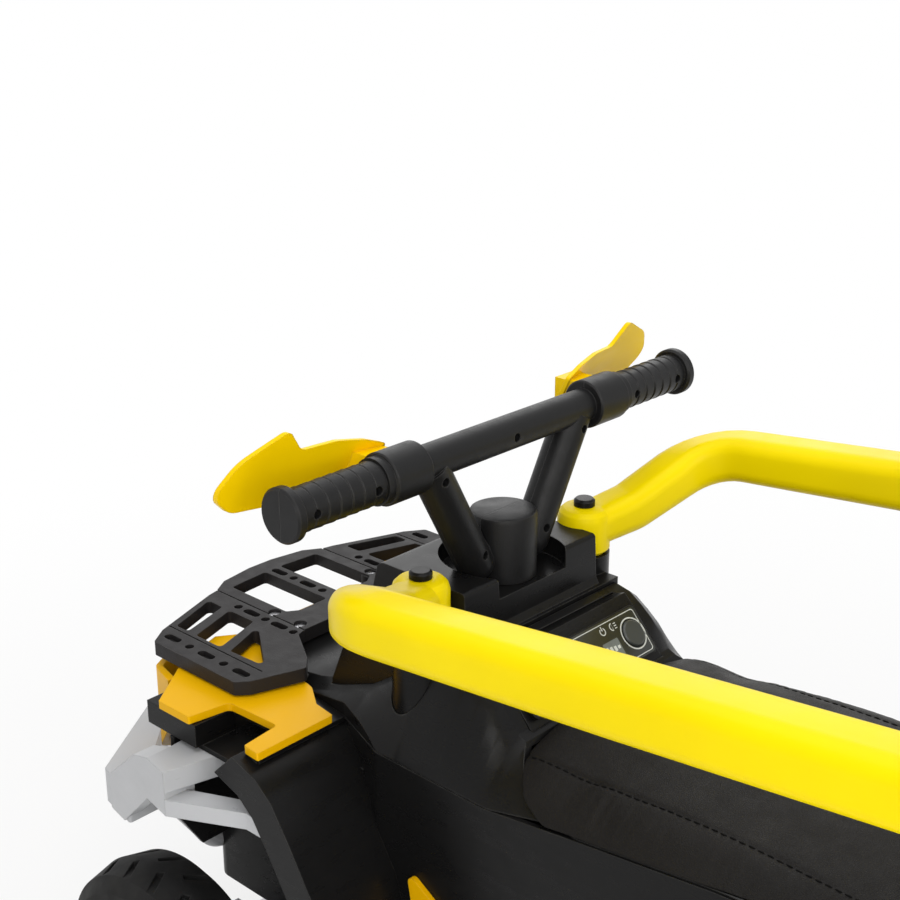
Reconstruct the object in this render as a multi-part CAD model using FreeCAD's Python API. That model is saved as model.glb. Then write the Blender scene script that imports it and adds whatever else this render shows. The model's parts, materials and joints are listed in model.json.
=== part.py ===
import FreeCAD
import Part
import math
import os
from FreeCAD import Vector

# Kids quad bike, in millimetres. It is drawn with the steering axis at x = 0 and the floor at z = 0:
# x points forward, y to the rider's left, z up. At the end everything moves forward by column_x,
# so that the origin lies on the floor under the middle of the object.
front_axle_x = 160.0
rear_axle_x = -330.0
track = 390.0

# Fits between pieces
running_gap = 0.05
loose_gap = 0.4
seam_gap = 0.6

# Length of cutting tools that go right through
tool_reach = 2000.0

# Wheels
tyre_radius = 98.0
tyre_width = 62.0
tyre_wall = 8.0
rim_radius = 58.0
rim_wall = 4.0
tread_grooves = 20
groove_width = 6.0
groove_depth = 4.0
groove_slant = 28.0
axle_radius = 5.0
collar_radius = 9.0
hub_radius = 17.0
hub_reach = 24.0
spoke_windows = 5
nut_radius = 9.0
nut_thickness = 7.0

# Handlebar
grip_end_y = 205.0
sleeve_start_y = 88.0
sleeve_length = 33.0
sleeve_radius = 18.0
grip_radius = 14.6
grip_bands = 7
band_step = 1.1
flange_thickness = 8.0
crossbar_radius = 12.3
leg_radius = 13.6
leg_top_y = 76.0
leg_foot_y = 30.0
leg_drop = 32.0
bar_rise = 55.0
column_radius = 24.3
column_rise = 34.0
column_edge = 3.5
bar_wall = 2.6
screw_radius = 1.6
screw_head_radius = 2.9
screw_head_depth = 2.0
screw_seat_x = -4.0
screw_reach_x = 8.0

# Hand guards
guard_wall = 4.0
guard_low_z = -20.0
guard_high_z = 41.0
guard_lean = 28.0

# Steering
shaft_radius = 6.0
crank_length = 45.0
crank_thickness = 6.0
crank_pin_radius = 4.0
tie_plate_thickness = 6.0
tie_slot_gap = 0.5
steer_limit = 25.0
kingpin_y = 140.0
kingpin_radius = 6.0
knuckle_radius = 12.0
knuckle_height = 27.0
ear_thickness = 10.0
beam_width = 24.0
beam_height = 20.0
bush_radius = 10.0

# Lower body and the long seam above it
tub_wall = 4.0
tub_half_width = 123.0
waist_inset = 19.0
shoulder_inset = 27.0
front_inset = 51.0
tub_front_x = 200.0
tub_tail_x = -392.0
tub_floor_z = 64.0
tub_front_floor_z = 135.0
seam_front_z = 325.5
seam_low_z = 323.5
seam_knee_z = 332.5
seam_rear_z = 346.0
seam_tail_z = 355.0
arch_inset = 7.0
arch_roof_z = 300.0

# Tank cover and dash
cover_wall = 3.0
deck_z = 332.0
hump_z = 395.0
hump_inset = 30.0
nose_top_x = -90.0
nose_top_z = 362.0
dash_inset = 33.0
dash_front_x = 84.0
dash_rear_x = -36.0
dash_step = 19.0
dash_top_z = 436.0
dash_wall = 4.0
bowl_radius = 46.0
bowl_floor_z = 421.0
dash_shoulder_z = 398.0
rail_boss_z = 411.6

# Control panel on the slope behind the column
panel_top = (-65.0, 393.0)
panel_bottom = (-90.0, 364.0)
panel_inset = 3.0
panel_thickness = 3.0
power_radius = 10.0
power_inset = 14.0
horn_y = 10.0
key_radius = 5.0
key_height = 2.0
rocker_width = 18.0
rocker_length = 12.0
rocker_tilt = 8.0
rocker_y = 36.0

# Guard rails on vertical pins
rail_pin_x = -4.0
rail_pin_inset = 35.0
rail_pin_radius = 5.0
rail_cap_radius = 8.0
rail_cap_height = 5.5
eye_radius = 20.0
eye_height = 35.0
rail_run_y = 194.5
rail_end_y = 150.0
rail_end_x = -452.0
rail_end_z = 512.0
rail_peg_radius = 6.0
rail_peg_length = 10.0
rail_peg_gap = 3.0
rail_corner = 11.5

# Seat
seat_inset = 33.0
seat_edge_z = 352.0
seat_rise = 8.0
seat_crown = 9.0
seat_bulge = 2.0
seat_base_depth = 12.0
seat_lip = 1.2
seat_tail_x = -388.0

# Front rack
rack_top_z = 345.0
rack_thickness = 10.0
rack_rim = 4.0
rack_rim_depth = 11.0
rack_front_x = 269.0
rack_rear_x = 150.0
rack_fold_y = 66.0
rack_outer_y = 148.0
rack_opening_y = 46.0
rack_rib = 8.0
rack_row_y = 135.0
rack_bolt_y = 52.5
rack_bolt_radius = 2.5
rack_bolt_head_radius = 4.8
rack_hole_radius = 3.5
rack_slot_reach = 5.0
rack_crease = 1.6

# Front end
plate_thickness = 6.0
plate_outer_y = 188.0
ledge_z = 290.0
ledge_thickness = 8.0
shield_outer_y = 195.0
shield_depth = 20.0
shield_wall = 4.0
bumper_inner_y = 165.0
bumper_outer_y = 218.0
corner_x = 120.0
bumper_top_z = 304.0
bumper_bar = 17.0
bumper_low_z = 269.0
bumper_stay = 13.0
bracket_y = 185.0
bracket_low_z = 207.0
bumper_front_x = 280.0
hoop_low_z = 228.0
hoop_high_z = 256.0
strut_radius = 8.0
bumper_band = 16.0
cowl_front_x = 252.0
cowl_wall = 4.0
cowl_dip_z = 298.0
cowl_dip_half_width = 104.0
cowl_low_z = 228.0
cowl_high_z = 326.0
lamp_radius = 22.0

# Footrests, rear end and pedal
footrest_z = 104.0
footrest_front_x = -44.0
footrest_rear_x = -214.0
footrest_thickness = 6.0
footrest_width = 83.0
arch_gap = 17.0
arch_wall = 4.0
arch_outer_y = 227.0
backrest_half_width = 125.0
rear_x = -470.0
backrest_top_z = 526.0
pedal_thickness = 5.0
pedal_length = 62.0
pedal_half_width = 23.0
pedal_inset = 42.0
pedal_heel_x = -128.0
pedal_slope = 24.0
pedal_pin_radius = 2.5

# Drive
gearbox_depth = 36.0
gearbox_wall = 3.0
drive_teeth = 48
idler_small_teeth = 12
drive_module = 1.25
idler_teeth = 40
pinion_teeth = 10
pinion_module = 0.9
gear_thickness = 10.0
motor_radius = 13.8
motor_length = 48.0
battery_size = (100.0, 70.0, 94.0)
battery_x = -160.0
socket_x = -236.0
socket_z = 240.0
socket_radius = 7.0

# Places worked out from the sizes above
column_top_z = dash_top_z + column_rise
bar_height = column_top_z + bar_rise
leg_foot_z = column_top_z - leg_drop
tub_waist_half_width = tub_half_width - waist_inset
tub_shoulder_half_width = tub_half_width - shoulder_inset
tub_front_half_width = tub_half_width - front_inset
hump_half_width = tub_half_width - hump_inset
dash_half_width = tub_half_width - dash_inset
dash_block_half_width = dash_half_width - dash_step
panel_half_width = dash_block_half_width - panel_inset
power_y = power_inset - panel_half_width
rail_pin_y = tub_half_width - rail_pin_inset
seat_top_half_width = tub_half_width - seat_inset
footrest_outer_y = tub_half_width + footrest_width
pedal_y = -tub_half_width - pedal_inset
column_x = -(bumper_front_x + rear_x) / 2.0
axle_z = tyre_radius
half_track = track / 2.0
tyre_inner_y = half_track - tyre_width / 2.0
hub_outer_y = half_track + hub_reach
knuckle_low_z = axle_z - knuckle_height / 2.0
knuckle_high_z = axle_z + knuckle_height / 2.0
sleeve_end_y = sleeve_start_y + sleeve_length
column_foot_z = bowl_floor_z + loose_gap
rail_floor_z = rail_boss_z + loose_gap
tie_low_z = axle_z + 6.0
tie_high_z = tie_low_z + tie_plate_thickness
crank_low_z = tie_high_z + 4.0

parts = {}


# Helpers
def box(x0, x1, y0, y1, z0, z1):
    return Part.makeBox(x1 - x0, y1 - y0, z1 - z0, Vector(x0, y0, z0))


def rod(start, end, radius):
    line = Vector(*end) - Vector(*start)
    return Part.makeCylinder(radius, line.Length, Vector(*start), line)


def fuse(shapes):
    return shapes[0].multiFuse(shapes[1:]).removeSplitter()


def cut(shape, tools):
    return shape.cut(tools).removeSplitter()


def largest(shape):
    """The main solid left after a cut."""
    return max(shape.Solids, key=lambda solid: solid.Volume).removeSplitter()


def mirrored(shape):
    return shape.mirror(Vector(0, 0, 0), Vector(0, 1, 0))


def both_sides(points):
    """Half outline from front to rear on the left, closed by its mirror image on the right."""
    return list(points) + [(x, -y) for x, y in reversed(points)]


def corner_edges(points, radii, closed):
    """Straight runs with a tangent arc at each corner that has a radius."""
    count = len(points)
    edges = []
    enters = []
    leaves = []
    for i, corner in enumerate(points):
        radius = radii[i]
        is_end = not closed and i in (0, count - 1)
        if is_end or radius <= 0.0:
            enters.append(corner)
            leaves.append(corner)
            edges.append(None)
            continue
        back = (points[i - 1] - corner).normalize()
        ahead = (points[(i + 1) % count] - corner).normalize()
        half = back.getAngle(ahead) / 2.0
        bisector = (back + ahead).normalize()
        enters.append(corner + back * (radius / math.tan(half)))
        leaves.append(corner + ahead * (radius / math.tan(half)))
        middle = corner + bisector * (radius / math.sin(half) - radius)
        edges.append(Part.Arc(enters[i], middle, leaves[i]).toShape())
    chain = []
    for i in range(count):
        if edges[i]:
            chain.append(edges[i])
        following = (i + 1) % count
        if following == 0 and not closed:
            break
        if (enters[following] - leaves[i]).Length > 0.001:
            chain.append(Part.LineSegment(leaves[i], enters[following]).toShape())
    return chain


def outline(points, radius=0.0):
    """Closed flat outline; a point may carry its own corner radius as a third number."""
    corners = [Vector(p[0], p[1], 0) for p in points]
    radii = [p[2] if len(p) > 2 else radius for p in points]
    return Part.Wire(corner_edges(corners, radii, True))


def stand(shape, plane):
    """Turn a shape drawn flat so that its outline lies in the named plane."""
    if plane == "xz":
        shape.rotate(Vector(0, 0, 0), Vector(1, 0, 0), 90)
    if plane == "yz":
        shape.rotate(Vector(0, 0, 0), Vector(1, 1, 1), 120)
    return shape


def plate(points, low, high, radius=0.0, plane="xy"):
    """Flat outline given thickness from low to high along the axis across its plane."""
    if plane == "xz":
        low, high = -high, -low
    face = Part.Face(outline(points, radius))
    face.translate(Vector(0, 0, low))
    return stand(face.extrude(Vector(0, 0, high - low)), plane)


def turned(profile, centre, axis):
    """Body of revolution; the profile lists (distance along the axis, radius)."""
    points = [Vector(along, radius, 0) for along, radius in profile]
    face = Part.Face(Part.makePolygon(points + [points[0]]))
    body = face.revolve(Vector(0, 0, 0), Vector(1, 0, 0), 360)
    if axis == "y":
        body.rotate(Vector(0, 0, 0), Vector(0, 0, 1), 90)
    if axis == "z":
        body.rotate(Vector(0, 0, 0), Vector(0, 1, 0), -90)
    body.translate(Vector(*centre))
    return body


def pipe(points, bend, radius):
    """Round bar along straight runs joined by tangent arcs."""
    corners = [Vector(*p) for p in points]
    path = Part.Wire(corner_edges(corners, [bend] * len(corners), False))
    circle = Part.Circle(corners[0], corners[1] - corners[0], radius)
    return path.makePipeShell([Part.Wire(circle.toShape())], True, False)


def gear(teeth, module, y0, y1):
    """Straight toothed wheel round the y axis, with slack flanks and one tooth pointing forward."""
    tip = module * (teeth / 2.0 + 0.9)
    root = module * (teeth / 2.0 - 1.15)
    pitch = 2.0 * math.pi / teeth
    points = []
    for tooth in range(teeth):
        middle = tooth * pitch
        for share, radius in ((-0.30, root), (-0.12, tip), (0.12, tip), (0.30, root)):
            angle = middle + share * pitch
            points.append((radius * math.cos(angle), radius * math.sin(angle)))
    return plate(points, y0, y1, plane="xz")


def placed(shape, x, y, z):
    return shape.translated(Vector(x, y, z))


# Wheels
def make_tyre():
    half = tyre_width / 2.0
    shoulder = tyre_radius - 5.0
    side = tyre_radius - 16.0
    bead = rim_radius + 11.0
    outer = [(-half + 6, rim_radius), (-half, bead), (-half, side), (-half + 8, shoulder), (0, tyre_radius)]
    outer = outer + [(-along, radius) for along, radius in reversed(outer[:-1])]
    inner = [(half - 6 - tyre_wall, rim_radius), (half - tyre_wall, bead), (half - tyre_wall, side - 4)]
    inner = inner + [(0, tyre_radius - tyre_wall - 2)]
    inner = inner + [(-along, radius) for along, radius in reversed(inner[:-1])]
    body = turned(outer + inner, (0, 0, 0), "y")
    grooves = []
    for step in range(tread_grooves):
        for side_sign in (1, -1):
            groove = box(-groove_width / 2, groove_width / 2, 5, half + 4, 0, 2 * groove_depth)
            groove.rotate(Vector(0, 0, 0), Vector(0, 0, 1), groove_slant)
            groove.translate(Vector(0, 0, tyre_radius - groove_depth - 1.5))
            if side_sign < 0:
                groove = mirrored(groove)
            turn = (step + 0.25 * (1 - side_sign)) * 360.0 / tread_grooves
            groove.rotate(Vector(0, 0, 0), Vector(0, 1, 0), turn)
            grooves.append(groove)
    return cut(body, grooves)


def make_rim():
    """Hub, dished web with windows and barrel; the outer face looks along +y."""
    half = tyre_width / 2.0
    bore = axle_radius + running_gap
    barrel = rim_radius - rim_wall
    web_outer = hub_reach - 5.0
    web_inner = web_outer - 6.0
    profile = [(-half, bore), (-half, hub_radius), (web_inner, hub_radius), (web_inner - 6, barrel)]
    profile = profile + [(-half + 6, barrel), (-half + 6, rim_radius), (half - 6, rim_radius)]
    profile = profile + [(half - 6, barrel), (web_outer - 6, barrel), (web_outer, hub_radius)]
    profile = profile + [(hub_reach, hub_radius), (hub_reach, bore)]
    body = turned(profile, (0, 0, 0), "y")
    windows = []
    for step in range(spoke_windows):
        window = [(hub_radius + 8, -7), (barrel - 5, -15), (barrel - 5, 15), (hub_radius + 8, 7)]
        hole = plate(window, -half, half, 4.0, "xz")
        hole.rotate(Vector(0, 0, 0), Vector(0, 1, 0), step * 360.0 / spoke_windows)
        windows.append(hole)
    return cut(body, windows)


def add_wheels():
    tyre = make_tyre()
    rim = make_rim()
    for end, x in (("front", front_axle_x), ("rear", rear_axle_x)):
        for side, sign in (("left", 1), ("right", -1)):
            cover = rim if sign > 0 else mirrored(rim)
            parts[f"tyre_{end}_{side}"] = placed(tyre, x, sign * half_track, axle_z)
            parts[f"wheel_{end}_{side}"] = placed(cover, x, sign * half_track, axle_z)


def make_nut(sign):
    """Domed axle nut outside a hub."""
    start = hub_outer_y + loose_gap
    profile = [(start, 0), (start, nut_radius), (start + nut_thickness - 2, nut_radius)]
    profile = profile + [(start + nut_thickness, nut_radius - 3), (start + nut_thickness, 0)]
    nut = turned(profile, (0, 0, axle_z), "y")
    nut = nut.cut(rod((0, 0, axle_z), (0, hub_outer_y + nut_thickness - 2, axle_z), axle_radius))
    return nut if sign > 0 else mirrored(nut)


# Handlebar
def grip_profile():
    """Sleeve, banded grip and end flange, from the inside outwards."""
    length = grip_end_y - flange_thickness - sleeve_end_y - 6.0
    band = length / grip_bands
    start = sleeve_end_y + 6.0
    profile = [(sleeve_start_y, 0), (sleeve_start_y, sleeve_radius - 1), (sleeve_start_y + 1, sleeve_radius)]
    profile = profile + [(sleeve_end_y - 1, sleeve_radius), (sleeve_end_y, sleeve_radius - 1)]
    profile = profile + [(sleeve_end_y, sleeve_radius - 2), (start, sleeve_radius - 2)]
    for step in range(grip_bands):
        profile.append((start + step * band, grip_radius - band_step))
        profile.append((start + step * band + 1.2, grip_radius))
        profile.append((start + (step + 1) * band - 0.6, grip_radius - 0.4 * band_step))
    end = grip_end_y - flange_thickness
    profile = profile + [(end, grip_radius - band_step), (end, sleeve_radius - 1.5)]
    profile = profile + [(end + 1.5, sleeve_radius)]
    profile = profile + [(grip_end_y - 1.5, sleeve_radius), (grip_end_y, sleeve_radius - 1.5)]
    profile = profile + [(grip_end_y, 0)]
    return profile


def bar_form(shrink):
    """Outer form of the bar, or the hollow inside it when shrunk by the wall."""
    start = (0, -sleeve_start_y, bar_height)
    shapes = [rod(start, (0, sleeve_start_y, bar_height), crossbar_radius - shrink)]
    top = column_top_z - shrink
    profile = [(column_foot_z, 0), (column_foot_z, column_radius - shrink)]
    profile = profile + [(top - column_edge, column_radius - shrink)]
    profile = profile + [(top - 1, column_radius - 1 - shrink)]
    profile = profile + [(top, column_radius - column_edge - shrink), (top, 0)]
    shapes.append(turned(profile, (0, 0, 0), "z"))
    for sign in (1, -1):
        leg_top = (0, sign * leg_top_y, bar_height - 4)
        leg_foot = (0, sign * leg_foot_y, leg_foot_z)
        shapes.append(rod(leg_top, leg_foot, leg_radius - shrink))
        if shrink > 0:
            end = sign * (grip_end_y - shrink)
            core = grip_radius - band_step - shrink
            shapes.append(rod((0, 0, bar_height), (0, end, bar_height), core))
        else:
            grip = turned(grip_profile(), (0, 0, bar_height), "y")
            shapes.append(grip if sign > 0 else mirrored(grip))
            shapes.append(Part.makeSphere(leg_radius, Vector(*leg_foot)))
    return fuse(shapes)


def screw_places():
    """Height and side of each screw along the rear half of the bar."""
    places = [(0.0, bar_height)]
    for sign in (1, -1):
        places.append((sign * (sleeve_end_y + 14.0), bar_height))
        places.append((sign * (grip_end_y - 18.0), bar_height))
        places.append((sign * (leg_top_y - 3.0), bar_height - 12.0))
        places.append((sign * (leg_foot_y + 3.0), leg_foot_z + 10.0))
    return places


def add_handlebar():
    bosses = []
    seats = []
    screws = []
    for y, z in screw_places():
        bosses.append(rod((-11, y, z), (11, y, z), screw_head_radius + 2))
        seats.append(rod((-40, y, z), (screw_seat_x, y, z), screw_head_radius + 0.2))
        seats.append(rod((-40, y, z), (screw_reach_x, y, z), screw_radius))
        head = rod((screw_seat_x - screw_head_depth, y, z), (screw_seat_x, y, z), screw_head_radius)
        screws.append(head.fuse(rod((screw_seat_x, y, z), (screw_reach_x, y, z), screw_radius)))
    socket = rod((0, 0, column_foot_z), (0, 0, column_top_z - bar_wall), shaft_radius + bar_wall + 2)
    outer = bar_form(0.0)
    hollow = bar_form(bar_wall).cut(fuse(bosses).fuse(socket))
    shaft_hole = rod((0, 0, column_foot_z), (0, 0, column_top_z - 12), shaft_radius)
    body = outer.cut([hollow, shaft_hole] + seats)
    far = tool_reach
    parts["handlebar_front_shell"] = body.common(box(0, far, -far, far, 0, far)).removeSplitter()
    parts["handlebar_rear_shell"] = body.common(box(-far, 0, -far, far, 0, far)).removeSplitter()
    parts["handlebar_screws"] = Part.makeCompound(screws)
    guard = make_guard(outer)
    parts["handguard_left"] = guard
    parts["handguard_right"] = mirrored(guard)


def make_guard(bar):
    """Curved wing in front of the left grip, cut from a leaning curved wall by its front outline."""
    walls = []
    for height, shift in ((guard_low_z, 0.0), (guard_high_z, -guard_lean)):
        near = [Vector(34 + shift, 94, 0), Vector(47 + shift, 150, 0), Vector(54 + shift, 226, 0)]
        far = [Vector(p.x + guard_wall, p.y, 0) for p in reversed(near)]
        edges = [Part.Arc(*near).toShape(), Part.LineSegment(near[2], far[0]).toShape()]
        edges = edges + [Part.Arc(*far).toShape(), Part.LineSegment(far[2], near[0]).toShape()]
        wire = Part.Wire(edges)
        wire.translate(Vector(0, 0, bar_height + height))
        walls.append(wire)
    wall = Part.makeLoft(walls, True, True)
    front = [(96, -10, 3), (125, -15, 30), (165, -17, 40), (203, -13, 18), (221, 4, 11), (207, 25, 26)]
    front = front + [(174, 41, 5), (160, 23, 9), (134, 24, 14), (112, 20, 14), (96, 14, 3)]
    edge = [(y, bar_height + z, radius) for y, z, radius in front]
    wing = wall.common(plate(edge, -60, 100, plane="yz"))
    arm = box(0, 34, sleeve_start_y + 9, sleeve_end_y - 2, bar_height - 9, bar_height + 12)
    blocker = rod((0, 0, bar_height), (0, grip_end_y, bar_height), sleeve_radius)
    return fuse([wing, arm]).cut([bar, blocker]).removeSplitter()


# Steering below the bar
def add_steering():
    shaft = rod((0, 0, crank_low_z), (0, 0, column_top_z - 12), shaft_radius)
    half = crank_pin_radius + 5.0
    arm = plate([(half, -half), (half, half), (-crank_length - half, half), (-crank_length - half, -half)],
                crank_low_z, crank_low_z + crank_thickness, half - 0.5)
    pin = rod((-crank_length, 0, tie_low_z - 2), (-crank_length, 0, crank_low_z), crank_pin_radius)
    parts["steering_shaft"] = fuse([shaft, arm, pin])
    arm_x = front_axle_x - crank_length
    reach = kingpin_y + crank_pin_radius + 8.0
    tie = [(arm_x + 12, -reach, 8), (arm_x + 12, reach, 8), (arm_x - 12, reach, 8), (arm_x - 12, 45, 20)]
    tie = tie + [(-crank_length - 14, 16, 10), (-crank_length - 14, -16, 10), (arm_x - 12, -45, 20)]
    tie = tie + [(arm_x - 12, -reach, 8)]
    slots = []
    slot_half = crank_pin_radius + tie_slot_gap
    slack = crank_length * (1.0 - math.cos(math.radians(steer_limit))) + tie_slot_gap
    for x, y, way in ((-crank_length, 0, 1), (arm_x, kingpin_y, 1), (arm_x, -kingpin_y, 1)):
        ends = [(x - slot_half, y - slot_half), (x + slot_half + way * slack, y - slot_half)]
        ends = ends + [(x + slot_half + way * slack, y + slot_half), (x - slot_half, y + slot_half)]
        slots.append(plate(ends, 0, tool_reach, slot_half - 0.1))
    middle = [(arm_x - 22, -40, 10), (arm_x - 22, 40, 10), (0, 16, 8), (0, -16, 8)]
    slots.append(plate(middle, 0, tool_reach))
    parts["tie_rod"] = plate(tie, tie_low_z, tie_high_z).cut(slots)
    add_front_axle()


def add_front_axle():
    ear_gap = loose_gap
    low = knuckle_low_z - ear_gap - ear_thickness
    high = knuckle_high_z + ear_gap + ear_thickness
    half = beam_width / 2
    shapes = [box(front_axle_x - half, front_axle_x + half, -kingpin_y + 14, kingpin_y - 14,
                  axle_z - beam_height / 2, axle_z + beam_height / 2)]
    shapes.append(box(front_axle_x - 20, front_axle_x + 20, -60, 60, axle_z, tub_front_floor_z))
    bores = []
    for sign in (1, -1):
        y = sign * kingpin_y
        inner = sign * (kingpin_y - 22)
        web = sorted([inner, sign * (kingpin_y - 14)])
        ear = sorted([inner, y])
        back = front_axle_x - knuckle_radius
        front = front_axle_x + knuckle_radius
        shapes.append(box(back, front, web[0], web[1], low, high))
        for start in (low, high - ear_thickness):
            end = start + ear_thickness
            shapes.append(rod((front_axle_x, y, start), (front_axle_x, y, end), knuckle_radius))
            shapes.append(box(back, front, ear[0], ear[1], start, end))
        bores.append(rod((front_axle_x, y, 0), (front_axle_x, y, tool_reach), kingpin_radius + running_gap))
    beam = fuse(shapes).cut(bores)
    parts["front_axle_beam"] = beam.removeSplitter()
    pin = rod((front_axle_x, kingpin_y, low - 3), (front_axle_x, kingpin_y, high + 3), kingpin_radius)
    block_top = (front_axle_x, kingpin_y, knuckle_high_z)
    block = rod((front_axle_x, kingpin_y, knuckle_low_z), block_top, knuckle_radius)
    middle = (front_axle_x, kingpin_y, axle_z)
    stub = rod(middle, (front_axle_x, hub_outer_y + nut_thickness - 2, axle_z), axle_radius)
    shoulder = rod(middle, (front_axle_x, tyre_inner_y - loose_gap, axle_z), collar_radius)
    arm_x = front_axle_x - crank_length
    half = crank_pin_radius + 2.5
    arm = [(arm_x - half, kingpin_y - half), (front_axle_x, kingpin_y - half)]
    arm = arm + [(front_axle_x, kingpin_y + half), (arm_x - half, kingpin_y + half)]
    arm = plate(arm, knuckle_low_z, tie_low_z - 3, half - 0.5)
    arm_pin = rod((arm_x, kingpin_y, tie_low_z - 3), (arm_x, kingpin_y, tie_high_z + 2), crank_pin_radius)
    knuckle = fuse([pin, block, stub, shoulder, arm, arm_pin])
    parts["knuckle_left"] = knuckle
    parts["knuckle_right"] = mirrored(knuckle)
    for side, sign in (("left", 1), ("right", -1)):
        parts[f"front_nut_{side}"] = placed(make_nut(sign), front_axle_x, 0, 0)
    add_rear_axle()


def add_rear_axle():
    reach = hub_outer_y + nut_thickness - 2
    axle = rod((rear_axle_x, -reach, axle_z), (rear_axle_x, reach, axle_z), axle_radius)
    collar_end = (rear_axle_x, tyre_inner_y - loose_gap, axle_z)
    collar = rod((rear_axle_x, tub_half_width, axle_z), collar_end, collar_radius)
    parts["rear_axle"] = axle.fuse(collar).removeSplitter()
    nuts = [placed(make_nut(sign), rear_axle_x, 0, 0) for sign in (1, -1)]
    parts["rear_axle_nuts"] = Part.makeCompound(nuts)


# Body forms shared by the lower body, the tank cover and the seat
def body_plan(inset):
    """Half outline of the body from above, drawn in by a wall."""
    return [(tub_front_x - inset, tub_front_half_width - inset), (118, tub_shoulder_half_width - inset),
            (58, tub_waist_half_width - inset), (6, tub_half_width - inset),
            (tub_tail_x + 20, tub_half_width - inset), (tub_tail_x + inset, tub_half_width - 18 - inset)]


def above_seam(gap):
    """Space above the long curved seam between the lower body and what sits on it."""
    top = tool_reach
    line = [(400, seam_front_z, 0), (40, seam_front_z, 200), (-92, seam_low_z, 110), (-160, seam_knee_z, 250)]
    line = line + [(-270, seam_rear_z, 300), (-500, seam_tail_z, 0)]
    line = [(x, z + gap, radius) for x, z, radius in line]
    return plate(line + [(-500, top, 0), (400, top, 0)], -300, 300, plane="xz")


def behind_nose(gap):
    """Space behind the curved joint between the tank cover and the seat."""
    top = Vector(nose_top_x - gap, 0, nose_top_z + 2)
    middle = Vector(nose_top_x - 21 - 0.7 * gap, 0, nose_top_z - 21 + 0.7 * gap)
    foot = Vector(nose_top_x - 66, 0, nose_top_z - 31 + gap)
    roof = [foot, Vector(-500, 0, foot.z), Vector(-500, 0, 900), Vector(top.x, 0, 900), top]
    edges = [Part.Arc(top, middle, foot).toShape()]
    edges = edges + [Part.LineSegment(a, b).toShape() for a, b in zip(roof, roof[1:])]
    face = Part.Face(Part.Wire(edges))
    face.translate(Vector(0, -300, 0))
    return face.extrude(Vector(0, 600, 0))


def tub_form(inset):
    plan = plate(both_sides(body_plan(inset)), 0, tool_reach, 14.0)
    front_floor = tub_front_floor_z + inset
    side = [(tub_front_x - inset, front_floor + 6, 4), (tub_front_x - 8, front_floor, 4)]
    side = side + [(-60, front_floor, 12), (-82 - 0.3 * inset, tub_floor_z + inset, 12)]
    side = side + [(tub_tail_x + 30, tub_floor_z + inset, 12)]
    side = side + [(tub_tail_x + inset, tub_floor_z + 30 + inset, 12)]
    side = side + [(tub_tail_x + inset, tool_reach), (tub_front_x - inset, tool_reach)]
    arch_y = tub_half_width - arch_inset - inset
    arch = plate(both_sides([(tub_front_x - inset, arch_y), (0, arch_y)]), 0, arch_roof_z - inset, 14.0)
    return fuse([plan, arch]).common(plate(side, -300, 300, plane="xz"))


def add_tub():
    shell = tub_form(0.0).cut(tub_form(tub_wall)).cut(above_seam(0.0))
    holes = [rod((rear_axle_x, -200, axle_z), (rear_axle_x, 200, axle_z), axle_radius + running_gap)]
    holes.append(rod((0, 0, 0), (0, 0, tub_front_floor_z + 40), shaft_radius + running_gap))
    motor_x = rear_axle_x + gear_span() + pinion_span()
    holes.append(rod((motor_x, -200, axle_z), (motor_x, -60, axle_z), 6))
    holes.append(rod((socket_x, 60, socket_z), (socket_x, 200, socket_z), socket_radius))
    boss = rod((0, 0, tub_front_floor_z - 4), (0, 0, tub_front_floor_z + 14), bush_radius)
    parts["chassis_tub"] = fuse([shell, boss]).cut(holes).removeSplitter()


def cover_section(x, low_half, shoulder_half, shoulder_z, inset):
    """Section across the tank: upright foot, leaning flank and a bevelled shoulder."""
    half = [(low_half, 290), (low_half, 324)]
    half = half + [(shoulder_half + 2, shoulder_z - 7), (shoulder_half - 7, shoulder_z)]
    half = [(y - inset, z - (inset if z > 300 else 0)) for y, z in half]
    points = [Vector(x, y, z) for y, z in half] + [Vector(x, -y, z) for y, z in reversed(half)]
    return Part.makePolygon(points + [points[0]])


def cover_form(inset):
    """Front deck and tank as one closed form, trimmed to the plan of the body."""
    plan = plate(both_sides(body_plan(inset)), 0, tool_reach, 14.0)
    low = tub_half_width + 1
    top = hump_z
    edge = seat_edge_z + 4
    spine = [(126, deck_z - 1), (100, deck_z + 3), (70, deck_z + 12), (40, top - 39), (10, top - 19)]
    spine = spine + [(-12, top - 6), (-36, top), (-50, top - 3), (-62, top - 9), (-72, top - 17)]
    spine = spine + [(-80, top - 26), (-88, edge + 3)]
    spine = spine + [(-95, edge), (-170, edge)]
    sections = []
    for x, z in spine:
        half = hump_half_width if x > -60 else seat_top_half_width + 1
        sections.append(cover_section(x, low, half, z, inset))
    tank = Part.makeLoft(sections, True, True)
    deck = [(tub_front_x - inset, 290), (tub_front_x - inset, deck_z - inset, 6)]
    deck = deck + [(112, deck_z - inset), (112, 290)]
    form = fuse([tank, plate(deck, -300, 300, plane="xz").common(plan)])
    return form.common(plan)


def add_tank_cover():
    shell = cover_form(0.0).cut(cover_form(cover_wall))
    shell = shell.common(above_seam(seam_gap)).cut(behind_nose(-seam_gap))
    bosses = []
    for sign in (1, -1):
        y = sign * rail_pin_y
        bosses.append(rod((rail_pin_x, y, 300), (rail_pin_x, y, rail_boss_z), eye_radius + seam_gap))
    parts["tank_cover"] = largest(shell.cut([dash_form(-seam_gap)] + bosses))


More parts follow.
